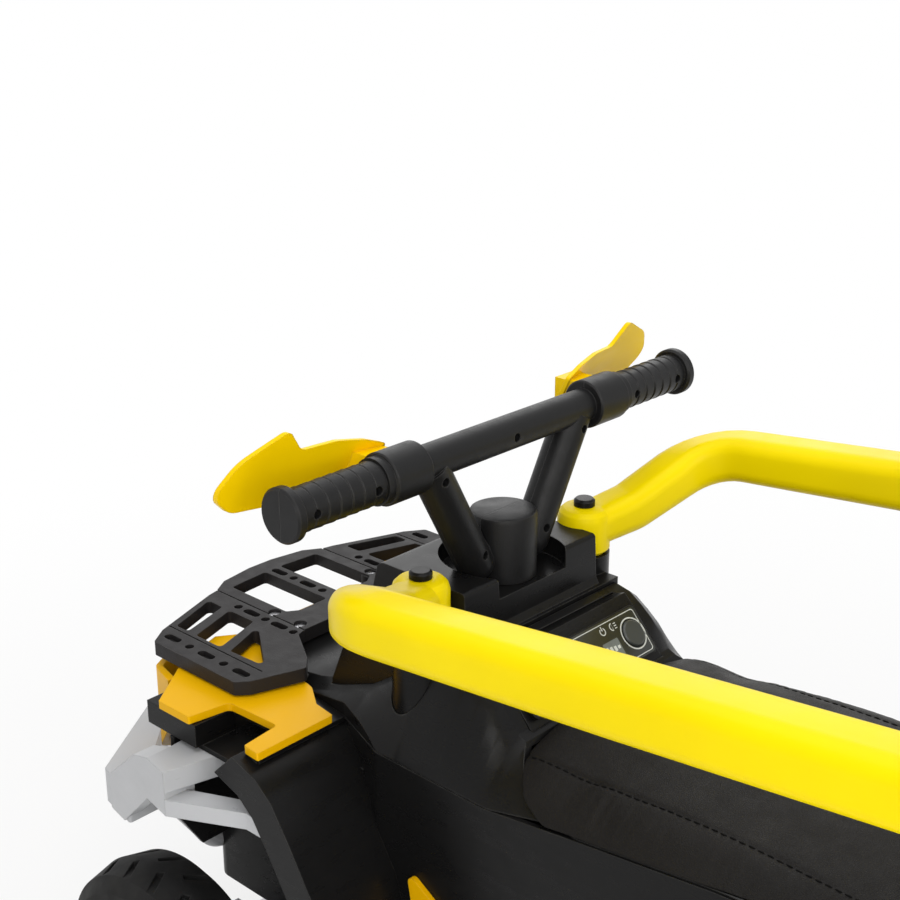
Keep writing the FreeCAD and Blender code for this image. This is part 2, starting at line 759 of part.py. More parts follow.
# Dash tower
def dash_form(inset):
    """Lower block, column block and panel wedge as one closed form."""
    wide = dash_half_width - inset
    lower = plate([(dash_rear_x + inset, 300), (dash_rear_x + inset, dash_shoulder_z - inset),
                   (dash_front_x - 24, dash_shoulder_z - inset, 20),
                   (dash_front_x - inset, deck_z + 8 - inset),
                   (dash_front_x - inset, 300)], -wide, wide, plane="xz")
    narrow = dash_block_half_width - inset
    low = dash_shoulder_z - 40
    top = dash_top_z - inset
    upper = [(-38 + inset, low), (-38 + inset, dash_shoulder_z - 9), (-30 + inset, dash_shoulder_z + 5)]
    upper = upper + [(-28 + inset, top, 3), (54 - inset, top, 8), (74 - inset, low)]
    upper = plate(upper, -narrow, narrow, plane="xz")
    half = panel_half_width + 5.0 - inset
    top_x, top_z = panel_top
    low_x, low_z = panel_bottom
    seat = panel_thickness
    drop = seat + 0.5 * inset
    wedge = [(low_x - 4 + inset, 300), (low_x - 4 + inset, low_z - 8 - seat)]
    wedge = wedge + [(low_x + seat + inset, low_z - drop)]
    wedge = wedge + [(top_x + seat + inset, top_z - drop), (top_x + 10, top_z + 4 - inset)]
    wedge = wedge + [(-34, top_z - 4 - inset), (-20, top_z - 4 - inset), (-20, 300)]
    return fuse([lower, upper, plate(wedge, -half, half, plane="xz")])


def add_dash():
    bosses = []
    holes = []
    for sign in (1, -1):
        y = sign * rail_pin_y
        bosses.append(rod((rail_pin_x, y, dash_shoulder_z - 48), (rail_pin_x, y, rail_boss_z), eye_radius))
        holes.append(rod((rail_pin_x, y, rail_boss_z - 26), (rail_pin_x, y, rail_boss_z), rail_pin_radius))
        roof = (rail_pin_x, y, dash_top_z + 20)
        holes.append(rod((rail_pin_x, y, rail_boss_z), roof, eye_radius + seam_gap))
    bowl = rod((0, 0, bowl_floor_z), (0, 0, dash_top_z + 20), bowl_radius)
    holes.append(bowl)
    holes.append(rod((0, 0, 300), (0, 0, bowl_floor_z), shaft_radius + 2))
    inner = dash_form(dash_wall)
    floor = rod((0, 0, bowl_floor_z - dash_wall), (0, 0, dash_top_z), bowl_radius + dash_wall)
    cores = []
    for y in (rail_pin_y, -rail_pin_y):
        cores.append(rod((rail_pin_x, y, dash_shoulder_z - 40), (rail_pin_x, y, rail_boss_z), eye_radius - 6))
    inner = inner.cut([floor] + cores)
    body = fuse([dash_form(0.0)] + bosses).cut(inner).cut(holes)
    body = body.cut(key_wells())
    parts["dash_tower"] = body.common(above_seam(seam_gap + 0.4)).removeSplitter()
    pins = []
    cap_z = rail_floor_z + eye_height + loose_gap
    for sign in (1, -1):
        y = sign * rail_pin_y
        profile = [(rail_boss_z - 26, 0), (rail_boss_z - 26, rail_pin_radius), (cap_z, rail_pin_radius)]
        profile = profile + [(cap_z, rail_cap_radius), (cap_z + rail_cap_height - 1.5, rail_cap_radius)]
        profile = profile + [(cap_z + rail_cap_height, rail_cap_radius - 1.5), (cap_z + rail_cap_height, 0)]
        pins.append(turned(profile, (rail_pin_x, y, 0), "z"))
    parts["rail_pins"] = Part.makeCompound(pins)


# Control panel: drawn flat with its top face at z = 0, then laid on the slope
def panel_angle():
    return math.degrees(math.atan2(panel_top[1] - panel_bottom[1], panel_top[0] - panel_bottom[0]))


def on_panel(shape):
    """Lay a flat shape on the slope: its x runs up the panel and its z points away from the dash."""
    shape.rotate(Vector(0, 0, 0), Vector(0, 1, 0), -panel_angle())
    middle_x = (panel_top[0] + panel_bottom[0]) / 2.0
    middle_z = (panel_top[1] + panel_bottom[1]) / 2.0
    shape.translate(Vector(middle_x, 0, middle_z))
    return shape


def key_places():
    """Name, place up the panel, place across it and radius of each push button."""
    return [("power_button", 0.0, power_y, power_radius), ("horn_button", 0.0, horn_y, key_radius)]


def key_wells():
    """Wells behind the panel that the buttons and the rocker sink into."""
    depth = panel_thickness
    wells = []
    for name, up, across, radius in key_places():
        wells.append(on_panel(rod((up, across, -depth - 14), (up, across, 0), radius + 2.0)))
    half = rocker_width / 2.0 + 2
    reach = rocker_length / 2 + 2
    wells.append(on_panel(box(-reach, reach, rocker_y - half, rocker_y + half, -depth - 14, 0)))
    return wells


def add_panel():
    height = math.hypot(panel_top[0] - panel_bottom[0], panel_top[1] - panel_bottom[1])
    half = height / 2.0
    wide = panel_half_width
    corners = [(-half, -wide), (half, -wide), (half, wide), (-half, wide)]
    back = -panel_thickness
    holes = []
    for name, up, across, radius in key_places():
        holes.append(rod((up, across, -20), (up, across, 20), radius + running_gap + 0.1))
    swing = loose_gap + 5.0 * math.sin(math.radians(rocker_tilt))
    reach = rocker_length / 2 + swing
    side = rocker_width / 2
    holes.append(box(-reach, reach, rocker_y - side - loose_gap, rocker_y + side + loose_gap, -20, 20))
    base = plate(corners, back, 0, 4.0).cut(holes)
    parts["control_panel"] = on_panel(base.removeSplitter())
    for name, up, across, radius in key_places():
        profile = [(back - 5, 0), (back - 5, radius + 1.2), (back - 3, radius + 1.2), (back - 3, radius)]
        profile = profile + [(key_height - 1, radius), (key_height, radius - 1), (key_height, 0)]
        parts[name] = on_panel(turned(profile, (up, across, 0), "z"))
    end = rocker_length / 2
    rocker = [(1.5 - end, -6.5), (end - 1.5, -6.5), (end, 3.5), (0, 1.5), (-end, 1.0)]
    rocker = plate(rocker, rocker_y - side, rocker_y + side, plane="xz")
    rocker_axle = rod((0, rocker_y - side - 1.2, -4.8), (0, rocker_y + side + 1.2, -4.8), 1.5)
    parts["direction_rocker"] = on_panel(fuse([rocker, rocker_axle]))


# Guard rails
def rail_route():
    """Left rail from its eye to its rear end as straight runs joined by tangent arcs."""
    eye_z = rail_floor_z + eye_height / 2.0
    points = [(rail_pin_x, rail_pin_y, eye_z), (-18, 126, eye_z + 9), (-42, rail_run_y, eye_z + 42)]
    points = points + [(rail_end_x + 2, rail_run_y, rail_end_z + 1), (rail_end_x, rail_end_y, rail_end_z)]
    return corner_edges([Vector(*p) for p in points], [0, 32, 50, 32, 0], False)


def rail_size(share):
    """Width and height of the rail at a share of its length, thinner at the eye and at the rear end."""
    known = [(0.0, 36, 29), (0.05, 36, 31), (0.15, 37, 34), (0.24, 38, 35), (0.36, 39, 36), (0.50, 40, 37)]
    known = known + [(0.88, 40, 37), (0.95, 34, 34), (1.0, 28, 32)]
    for near, far in zip(known, known[1:]):
        if share <= far[0]:
            part = (share - near[0]) / (far[0] - near[0])
            return near[1] + part * (far[1] - near[1]), near[2] + part * (far[2] - near[2])
    return known[-1][1], known[-1][2]


def rail_section(middle, direction, width, height):
    """Upright rounded box across a direction."""
    half_width = width / 2.0
    half_height = height / 2.0
    corners = [(-half_width, -half_height), (half_width, -half_height)]
    corners = corners + [(half_width, half_height), (-half_width, half_height)]
    wire = outline(corners, rail_corner)
    side = Vector(0, 0, 1).cross(direction).normalize()
    lift = direction.cross(side).normalize()
    wire.Placement = FreeCAD.Placement(middle, FreeCAD.Rotation(side, lift, direction, "ZXY"))
    return wire


def make_rail():
    edges = rail_route()
    total = sum(edge.Length for edge in edges)
    sections = []
    passed = 0.0
    for edge in edges:
        steps = 7 if edge.Curve.TypeId == "Part::GeomCircle" else 2
        for step in range(steps + (edge is edges[-1])):
            length = edge.Length * step / steps
            at = edge.getParameterByLength(length)
            width, height = rail_size((passed + length) / total)
            sections.append(rail_section(edge.valueAt(at), edge.tangentAt(at), width, height))
        passed += edge.Length
    tube = Part.makeLoft(sections, True, True)
    top = rail_floor_z + eye_height
    dome = [(rail_floor_z, 0), (rail_floor_z, eye_radius - 3), (rail_floor_z + 3, eye_radius)]
    dome = dome + [(top - 8, eye_radius), (top - 4, eye_radius - 1.2), (top - 1.2, eye_radius - 4)]
    dome = dome + [(top, eye_radius - 8), (top, 0)]
    eye = turned(dome, (rail_pin_x, rail_pin_y, 0), "z")
    bore_end = (rail_pin_x, rail_pin_y, tool_reach)
    bore = rod((rail_pin_x, rail_pin_y, 0), bore_end, rail_pin_radius + running_gap)
    socket_end = (rail_end_x, rail_end_y + rail_peg_length + 4, rail_end_z)
    socket = rod((rail_end_x, rail_end_y - 1, rail_end_z), socket_end, rail_peg_radius + rail_peg_gap)
    return fuse([tube, eye]).cut([bore, socket])


# Seat
def seat_section(x, edge_half, edge_z, seam_z):
    """Closed section across the saddle: crowned top, puffed sides down to the seam, flat underside."""
    low_y = tub_half_width - 0.5
    corner = Vector(x, low_y, seam_z)
    edge = Vector(x, edge_half, edge_z)
    side = Vector(x, (low_y + edge_half) / 2 + 0.6 * seat_bulge, (seam_z + edge_z) / 2 + seat_bulge)
    crown = Vector(x, 0, edge_z + seat_crown)
    foot = Vector(x, low_y, seam_low_z - 20)
    flip = [Vector(p.x, -p.y, p.z) for p in (edge, side, corner, foot)]
    edges = [Part.LineSegment(foot, corner).toShape(), Part.Arc(corner, side, edge).toShape()]
    edges = edges + [Part.Arc(edge, crown, flip[0]).toShape(), Part.Arc(flip[0], flip[1], flip[2]).toShape()]
    edges = edges + [Part.LineSegment(flip[2], flip[3]).toShape(), Part.LineSegment(flip[3], foot).toShape()]
    return Part.Wire(edges)


def add_seat():
    wide = seat_top_half_width
    top = seat_edge_z
    stations = [(nose_top_x + 10, wide - 2, top - 1, top - 22), (nose_top_x - 40, wide, top + 3, top - 21)]
    high = top + seat_rise
    stations = stations + [(-174, wide, top + 5, seam_knee_z + 3), (-215, wide, high - 1, seam_knee_z + 9)]
    stations = stations + [(-270, wide, high, seam_rear_z)]
    stations = stations + [(seat_tail_x, wide - 6, high + 3, seam_rear_z + 3)]
    form = Part.makeLoft([seat_section(*station) for station in stations], True, False)
    parts["seat_pad"] = largest(form.common(above_seam(seat_lip)).common(behind_nose(0.0)))
    front_x = nose_top_x - 62
    inner = tub_half_width - tub_wall - loose_gap
    tray = plate(both_sides([(front_x, inner), (seat_tail_x + 10, inner)]), 0, tool_reach, 16.0)
    rim = plate(both_sides([(front_x, inner + 3), (seat_tail_x + 6, inner + 3)]), 0, tool_reach, 16.0)
    room = plate(both_sides([(front_x - 3, inner - 3), (seat_tail_x + 13, inner - 3)]), 0, tool_reach, 13.0)
    pan = tray.common(above_seam(-seat_base_depth)).cut(room.cut(above_seam(seat_lip - 4)))
    pan = fuse([pan, rim.common(above_seam(0.0))]).cut(above_seam(seat_lip))
    parts["seat_base"] = largest(pan)


# Front rack
def rack_outline():
    """Half outline of the rack from its nose to its rear edge."""
    front = rack_front_x
    rear = rack_rear_x
    outer = rack_outer_y
    points = [(front, 12), (front - 5, 43), (front - 15, rack_fold_y - 7), (front - 17, rack_fold_y + 2)]
    points = points + [(front - 40, outer - 16), (front - 51, outer), (rear - 25, outer)]
    points = points + [(rear - 33, outer - 9), (rear - 47, outer - 50), (rear - 36, outer - 61)]
    return points + [(rear - 3, rack_fold_y), (rear, rack_fold_y - 9)]


def rack_openings():
    """Openings of the left half: one in the middle panel and three between the slanted ribs."""
    front = rack_front_x
    inner = rack_fold_y + 9.0
    outer = rack_outer_y - 28.0
    middle = [(front - 16, rack_rib), (front - 19, rack_opening_y), (rack_rear_x + 34, rack_opening_y)]
    middle = middle + [(rack_rear_x + 28, rack_opening_y - 9), (rack_rear_x + 28, rack_rib)]
    first = [(front - 25, inner), (front - 42, outer), (front - 56, outer), (front - 42, inner)]
    second = [(front - 51, inner), (front - 66, outer), (front - 95, outer), (front - 80, inner)]
    third = [(front - 89, inner + 3), (front - 105, outer - 1), (rack_rear_x - 23, outer - 3)]
    return [middle, first, second, third]


def hole_row(x_start, x_end, y, count, first):
    """Row of slots and round holes in turn along a bar; first says which step is the first slot."""
    pitch = (x_end - x_start) / (count - 1)
    tools = []
    for step in range(count):
        x = x_start + step * pitch
        is_slot = step % 2 == first
        half = rack_hole_radius + (rack_slot_reach if is_slot else 0.05)
        slot = [(x - half, y - rack_hole_radius), (x + half, y - rack_hole_radius)]
        slot = slot + [(x + half, y + rack_hole_radius), (x - half, y + rack_hole_radius)]
        tools.append(plate(slot, rack_top_z - 5, rack_top_z + 40, rack_hole_radius - 0.02))
    return tools


def add_rack():
    edge = both_sides(rack_outline())
    slab = plate(edge, rack_top_z - rack_thickness, rack_top_z, 3.0)
    rim = plate(edge, rack_top_z - rack_rim_depth, rack_top_z - 1, 3.0)
    inside = Part.Face(outline(edge, 3.0).makeOffset2D(-rack_rim)).extrude(Vector(0, 0, tool_reach))
    tools = []
    for hole in rack_openings():
        tool = plate(hole, 0, tool_reach, 3.0)
        tools = tools + [tool, mirrored(tool)]
    outer_row = hole_row(rack_rear_x - 18, rack_front_x - 57, rack_row_y, 5, 0)
    fold_row = hole_row(rack_rear_x + 3, rack_front_x - 51, rack_fold_y, 5, 1)
    tools = tools + hole_row(rack_rear_x + 42, rack_front_x - 25, 0.0, 4, 1)
    low = rack_top_z - 1.2
    creases = []
    for start, end, y in ((rack_rear_x, rack_front_x - 12, rack_fold_y - 9),
                          (rack_rear_x - 28, rack_front_x - 38, rack_outer_y - 25)):
        creases.append(box(start, end, y, y + rack_crease, low, tool_reach))
    for tool in outer_row + fold_row + creases:
        tools = tools + [tool, mirrored(tool)]
    feet = []
    bolts = []
    holes = []
    seat_z = rack_top_z - 6.0
    for x in (rack_rear_x + 10, rack_rear_x + 40):
        for sign in (1, -1):
            y = sign * rack_bolt_y
            feet.append(rod((x, y, deck_z), (x, y, rack_top_z - 2), rack_bolt_head_radius + 3))
            holes.append(rod((x, y, deck_z - 20), (x, y, rack_top_z + 20), rack_bolt_radius))
            holes.append(rod((x, y, seat_z), (x, y, rack_top_z + 20), rack_bolt_head_radius + loose_gap))
            shank = rod((x, y, deck_z - 10), (x, y, seat_z), rack_bolt_radius)
            head = rod((x, y, seat_z), (x, y, seat_z + 3.5), rack_bolt_head_radius)
            bolts.append(shank.fuse(head).removeSplitter())
    body = fuse([slab.cut(tools), rim.cut(inside)] + feet)
    parts["front_rack"] = body.cut(holes).removeSplitter()
    parts["rack_bolts"] = Part.makeCompound(bolts)
    parts["tank_cover"] = parts["tank_cover"].cut(holes).removeSplitter()


# Front fenders, nose and bumper
def add_fenders():
    top = deck_z - 6.0
    plate_low = top + loose_gap
    outer = plate_outer_y
    notch_y = outer - 34.0
    edge = [(161, outer), (127, outer), (122, notch_y + 1, 5), (73, notch_y - 1, 4)]
    edge = edge + [(69, outer - 2), (54, outer - 1)]
    edge = edge + [(55, 117), (75, 114), (95, 100), (150, 84), (200, 80), (211, 96), (196, 140)]
    yellow = plate(edge, plate_low, plate_low + plate_thickness, 1.5)
    ledge = [(206, 158), (178, 170), (166, 184), (166, 196), (199, 182)]
    ledge = plate(ledge, ledge_z - ledge_thickness, ledge_z, 2.0)
    web = plate([(186, 154), (192, 150), (204, 166), (196, 172)], ledge_z - 1, plate_low + 1, 1.0)
    yellow = fuse([yellow, ledge, web])
    rear = [(72, top), (48, top - 8), (33, top - 20), (16, top - 45), (-12, 236)]
    rear = rear + [(footrest_front_x + 10, 160), (footrest_front_x, footrest_z), (footrest_front_x - 4, 70)]
    strip = rear + [(x + shield_depth, z - shield_depth) for x, z in reversed(rear)]
    wall = plate(strip, 80, shield_outer_y, plane="xz").cut(box(-200, 200, 0, 300, 0, footrest_z))
    hollow = plate(strip, 70, shield_outer_y - shield_wall, plane="xz")
    wall = wall.cut(placed(hollow, shield_wall, 0, -shield_wall))
    deck = box(56, 160, 80, outer - 4, top - shield_wall, top)
    pocket = box(70, 125, notch_y - 3, outer + 30, top - 60, top + 10)
    block = box(123, 178, notch_y - 4, outer - 2, top - 18, top)
    block = block.cut(box(127, 174, notch_y - 10, outer - 6, top - 40, top - shield_wall))
    floor = box(62, 160, 100, outer - 8, bumper_top_z, bumper_top_z + shield_wall)
    bracket = [(100, bumper_top_z + 2), (bracket_y, bumper_top_z + 2), (bracket_y, bumper_low_z - 30)]
    bracket = bracket + [(bracket_y - 20, bracket_low_z), (100, bracket_low_z)]
    bracket = plate(bracket, 150, 150 + shield_wall, plane="yz")
    shield = fuse([wall, deck.cut(pocket), block, floor, bracket])
    body = plate(both_sides(body_plan(0.0)), 0, tool_reach, 14.0)
    parts["leg_shield_left"] = largest(shield.cut([body, tub_form(0.0)]))
    parts["leg_shield_right"] = mirrored(parts["leg_shield_left"])
    yellow = largest(yellow.cut([body, parts["leg_shield_left"]]))
    parts["fender_plate_left"] = yellow
    parts["fender_plate_right"] = mirrored(yellow)


def add_bumper():
    outer = bumper_outer_y
    bar = [(corner_x, outer), (corner_x + 22, outer - 4)]
    bar = bar + [(corner_x + 27, bumper_inner_y), (corner_x - 13, bumper_inner_y)]
    top_bar = plate(bar, bumper_top_z - bumper_bar, bumper_top_z, 2.0)
    end_y = shield_outer_y - shield_wall - 1.0
    stay = [(corner_x + 22, outer - 4), (corner_x, outer), (66, end_y), (10, end_y), (10, end_y - 16)]
    stay = stay + [(66, end_y - 16), (corner_x - 6, outer - 22)]
    low_bar = plate(stay, bumper_low_z, bumper_low_z + bumper_stay, 2.0)
    horn = [(corner_x - 8, bumper_top_z), (corner_x + 24, bumper_top_z), (corner_x + 46, bumper_top_z - 8)]
    horn = horn + [(212, hoop_high_z), (212, hoop_low_z), (190, hoop_low_z), (corner_x + 28, bumper_low_z)]
    horn = plate(horn + [(corner_x - 8, bumper_low_z)], outer - 26, outer, 2.0, "xz")
    corner = [(corner_x, outer), (corner_x + 280, outer - 51), (corner_x + 280, 0), (corner_x - 6, 0)]
    corner = plate(corner, 0, tool_reach)
    front = bumper_front_x
    rear = front - bumper_band
    band = [(184, 166), (184, outer - 13), (222, outer - 20), (front, 112), (front, -112)]
    band = band + [(rear, -106), (rear, 106), (207, 166)]
    hoop = plate(band, hoop_low_z, hoop_high_z, 2.0)
    half = fuse([top_bar, low_bar, horn.common(corner)])
    shapes = [half, mirrored(half), hoop, mirrored(hoop)]
    for sign in (1, -1):
        strut = [(190, sign * 172, hoop_low_z + 12), (198, sign * 118, 165), (196, sign * 60, 165)]
        shapes.append(pipe(strut, 18, strut_radius))
    bumper = fuse(shapes).cut([tub_form(0.0), cover_form(0.0)])
    for side in ("left", "right"):
        bumper = bumper.cut([parts[f"leg_shield_{side}"], parts[f"fender_plate_{side}"]])
    parts["front_bumper"] = largest(bumper)


def add_nose():
    front = cowl_front_x
    wall = cowl_wall
    outer_edge = [(front, -84, 12), (front, 84, 12), (216, 150, 8), (190, 158), (190, -158), (216, -150, 8)]
    inner_edge = [(front - wall, -83, 10), (front - wall, 83, 10), (216 - wall, 150 - wall, 6)]
    inner_edge = inner_edge + [(180, 158 - wall), (180, wall - 158), (216 - wall, wall - 150, 6)]
    shell = plate(outer_edge, cowl_low_z, cowl_high_z).cut(plate(inner_edge, 0, tool_reach))
    slope = [(150, cowl_low_z - 1), (150, 290), (190, 290), (240, cowl_low_z - 1)]
    slope = plate(slope, 100, 200, plane="xz")
    dip = box(190, front + 10, -cowl_dip_half_width, cowl_dip_half_width, cowl_dip_z, tool_reach)
    shell = shell.cut([slope, mirrored(slope), dip])
    ribs = []
    for y in (58, -58):
        ribs.append(box(tub_front_x, front - wall / 2, y - 3, y + 3, cowl_low_z + 12, cowl_dip_z - 4))
    lamps = []
    for sign in (1, -1):
        normal = Vector(66, sign * 36, 0).normalize()
        middle = Vector(front - 18, sign * 117, cowl_dip_z - lamp_radius - 2)
        lamps.append(Part.makeCylinder(lamp_radius, 12, middle - normal * 8, normal))
    web = parts["fender_plate_left"]
    cowl = fuse([shell] + ribs).cut(lamps + [web, mirrored(web)])
    parts["nose_cowl"] = largest(cowl)
    for side, lamp in zip(("left", "right"), lamps):
        parts[f"headlight_{side}"] = lamp


# Footrests, rear fenders, backrest, trim and pedal
def add_rear_body():
    front_x = footrest_front_x
    back_x = footrest_rear_x
    low = footrest_z - footrest_thickness
    base = box(back_x, front_x + shield_depth, tub_half_width, footrest_outer_y, low, footrest_z)
    ribs = []
    for step in range(7):
        x = back_x + 24 + step * 16
        inner_y = tub_half_width + 14
        ribs.append(box(x, x + 5, inner_y, footrest_outer_y - 10, footrest_z - 1, footrest_z + 1.5))
    lip = box(back_x, front_x - 4, footrest_outer_y - 4, footrest_outer_y, footrest_z - 2, footrest_z + 6)
    parts["footrest_left"] = fuse([base, lip] + ribs)
    right = fuse([base, lip])
    parts["footrest_right"] = mirrored(right)
    inner_r = tyre_radius + arch_gap
    middle = (rear_axle_x, 0, axle_z)
    ring = [(tub_half_width, inner_r), (tub_half_width, inner_r + arch_wall)]
    ring = turned(ring + [(arch_outer_y, inner_r + arch_wall), (arch_outer_y, inner_r)], middle, "y")
    rim = [(arch_outer_y - arch_wall, inner_r), (arch_outer_y - arch_wall, inner_r + 12)]
    rim = turned(rim + [(arch_outer_y, inner_r + 12), (arch_outer_y, inner_r)], middle, "y")
    keep = [(back_x + 4, low), (back_x + 4, 400), (-600, 400), (-600, 170), (rear_axle_x - 110, 170)]
    keep = plate(keep, 0, 300, plane="xz")
    arch = fuse([ring, rim]).common(keep)
    top_z = axle_z + inner_r + arch_wall
    shelf = box(rear_axle_x - 70, rear_axle_x + 66, tub_half_width, arch_outer_y - 12, top_z - 14, top_z + 10)
    drum = rod((rear_axle_x, 0, axle_z), (rear_axle_x, 300, axle_z), inner_r + 0.5)
    arch = fuse([arch, shelf.cut(drum)])
    parts["rear_fender_left"] = arch.cut(parts["footrest_left"])
    parts["rear_fender_right"] = mirrored(parts["rear_fender_left"])
    add_backrest()
    trim = [(-26, 247), (-58, 228), (-130, 196), (-196, 190), (-206, 150), (-70, 150), (-38, 178)]
    side = plate(trim, tub_half_width, tub_half_width + 4, 4.0, "xz")
    parts["side_trim_left"] = side.cut([parts["leg_shield_left"]])
    parts["side_trim_right"] = mirrored(parts["side_trim_left"])


def add_backrest():
    tail = tub_tail_x
    profile = [(tail, 300, 2), (tail - 26, 290, 4), (tail - 44, 420, 30), (rear_x, backrest_top_z, 8)]
    profile = profile + [(rear_x + 22, backrest_top_z, 8), (tail - 14, 400, 30)]
    profile = profile + [(tail - 2, 362, 4), (tail, 352, 1)]
    panel = plate(profile, -backrest_half_width, backrest_half_width, plane="xz")
    arch = [(-70, 392, 14), (70, 392, 14), (58, 468, 18), (-58, 468, 18)]
    arch = plate(arch, tail - 100, tail + 20, plane="yz")
    panel = panel.cut(arch)
    arms = []
    for sign in (1, -1):
        pad = (rail_end_x, sign * (rail_end_y - 1.0), rail_end_z)
        tip = (rail_end_x, sign * (rail_end_y + rail_peg_length), rail_end_z)
        arms.append(rod((rail_end_x, sign * 100, rail_end_z), pad, 14))
        arms.append(rod(pad, tip, rail_peg_radius))
    parts["backrest"] = fuse([panel] + arms)


def add_pedal():
    heel_z = footrest_z + 6.0
    low = pedal_y - pedal_half_width
    high = pedal_y + pedal_half_width
    board = box(0, pedal_length, low, high, 0, pedal_thickness)
    ribs = []
    for step in range(4):
        x = 12 + 11 * step
        ribs.append(box(x, x + 4, low + 5, high - 5, pedal_thickness, pedal_thickness + 1.5))
    tread = fuse([board] + ribs)
    tread.rotate(Vector(0, 0, 0), Vector(0, 1, 0), -pedal_slope)
    tread.translate(Vector(pedal_heel_x, 0, heel_z))
    barrel = rod((pedal_heel_x, low, heel_z), (pedal_heel_x, high, heel_z), 5)
    pin = rod((pedal_heel_x, low - 7, heel_z), (pedal_heel_x, high + 7, heel_z), pedal_pin_radius)
    parts["foot_pedal"] = fuse([tread, barrel, pin])
    lugs = []
    for y0, y1 in ((low - 7, low - loose_gap), (high + loose_gap, high + 7)):
        lug = [(pedal_heel_x - 7, footrest_z - 1), (pedal_heel_x - 5, heel_z + 6, 4)]
        lug = lug + [(pedal_heel_x + 5, heel_z + 6, 4), (pedal_heel_x + 7, footrest_z - 1)]
        lugs.append(plate(lug, y0, y1, plane="xz"))
    bore_end = (pedal_heel_x, high + 20, heel_z)
    bore = rod((pedal_heel_x, low - 20, heel_z), bore_end, pedal_pin_radius + running_gap)
    parts["footrest_right"] = fuse([parts["footrest_right"]] + lugs).cut(bore)


# Drive, battery and electrics
def gear_span():
    return drive_module * (drive_teeth + idler_small_teeth) / 2.0


def pinion_span():
    return pinion_module * (idler_teeth + pinion_teeth) / 2.0


def add_drive():
    near = -tub_half_width
    far = near - gearbox_depth
    x_out = rear_axle_x
    x_mid = x_out + gear_span()
    x_in = x_mid + pinion_span()
    reach = drive_module * drive_teeth / 2.0 + 6.0
    end_x = x_in + 24.0
    frame = [(x_out - reach, axle_z - reach), (x_out - reach, axle_z + reach)]
    frame = frame + [(end_x, axle_z + reach), (end_x, axle_z - reach)]
    rim = plate(frame, far + gearbox_wall, near, 28.0, "xz")
    wall = gearbox_wall
    inner = reach - wall
    room = [(x_out - inner, axle_z - inner), (x_out - inner, axle_z + inner)]
    room = room + [(end_x - wall, axle_z + inner), (end_x - wall, axle_z - inner)]
    hollow = plate(room, far, near - wall, 28.0 - wall, "xz")
    boss = rod((x_mid, near - wall - 4, axle_z), (x_mid, near, axle_z), 6)
    idler_bore = rod((x_mid, near - 20, axle_z), (x_mid, near - 2, axle_z), 2.5 + running_gap)
    holes = [rod((x_out, near - 50, axle_z), (x_out, near + 5, axle_z), axle_radius + running_gap),
             rod((x_in, near - 50, axle_z), (x_in, near + 5, axle_z), 6), idler_bore]
    parts["gearbox_case"] = fuse([rim.cut(hollow), boss]).cut(holes)
    lid = plate(frame, far, far + wall, 28.0, "xz")
    lid_boss = rod((x_mid, far + wall, axle_z), (x_mid, far + wall + 2, axle_z), 6)
    lid_holes = [rod((x_out, far - 1, axle_z), (x_out, far + 10, axle_z), 12 + loose_gap),
                 rod((x_mid, far + 1.5, axle_z), (x_mid, far + 10, axle_z), 2.5 + running_gap)]
    parts["gearbox_cover"] = fuse([lid, lid_boss]).cut(lid_holes)
    drive_y = far + 7.0
    wheel = gear(drive_teeth, drive_module, drive_y, drive_y + gear_thickness)
    hub = rod((0, -tyre_inner_y, 0), (0, drive_y + 1, 0), 12)
    inner_hub = rod((0, drive_y + 1, 0), (0, near - wall - 1, 0), 9)
    bore = rod((0, -300, 0), (0, 0, 0), axle_radius + running_gap)
    wheel = fuse([wheel, hub, inner_hub]).cut(bore)
    parts["drive_gear"] = placed(wheel, x_out, 0, axle_z)
    small = gear(idler_small_teeth, drive_module, drive_y - 0.5, drive_y + gear_thickness + 1.0)
    small.rotate(Vector(0, 0, 0), Vector(0, 1, 0), 180.0 + 180.0 / idler_small_teeth)
    big_y = drive_y + gear_thickness + 3.0
    big = gear(idler_teeth, pinion_module, big_y, big_y + 6.0)
    spindle = rod((0, far + 2.0, 0), (0, near - 2.5, 0), 2.5)
    parts["idler_gear"] = placed(fuse([small, big, spindle]), x_mid, 0, axle_z)
    pinion = gear(pinion_teeth, pinion_module, big_y - 1.0, big_y + 7.0)
    pinion.rotate(Vector(0, 0, 0), Vector(0, 1, 0), 180.0 + 180.0 / pinion_teeth)
    stem = rod((0, big_y, 0), (0, near + 40, 0), 1.2)
    parts["motor_pinion"] = placed(fuse([pinion, stem]), x_in, 0, axle_z)
    start = near + tub_wall
    can = rod((x_in, start, axle_z), (x_in, start + motor_length, axle_z), motor_radius)
    tail = rod((x_in, start + motor_length, axle_z), (x_in, start + motor_length + 4, axle_z), 5)
    hole = rod((x_in, near - 5, axle_z), (x_in, near + 42, axle_z), 1.2 + running_gap)
    parts["motor"] = fuse([can, tail]).cut(hole)


def add_electrics():
    length, width, height = battery_size
    floor = tub_floor_z + tub_wall
    case = box(battery_x - length / 2, battery_x + length / 2, -width / 2, width / 2, floor, floor + height)
    lugs = []
    for x in (battery_x - 30, battery_x + 18):
        lugs.append(box(x, x + 6, 18, 24, floor + height, floor + height + 6))
    parts["battery"] = fuse([case] + lugs)
    y = tub_half_width
    collar = rod((socket_x, y, socket_z), (socket_x, y + 3, socket_z), socket_radius + 3)
    body = rod((socket_x, y - 18, socket_z), (socket_x, y, socket_z), socket_radius)
    cap = rod((socket_x, y + 3, socket_z), (socket_x, y + 5, socket_z), socket_radius)
    parts["charging_socket"] = fuse([collar, body, cap])


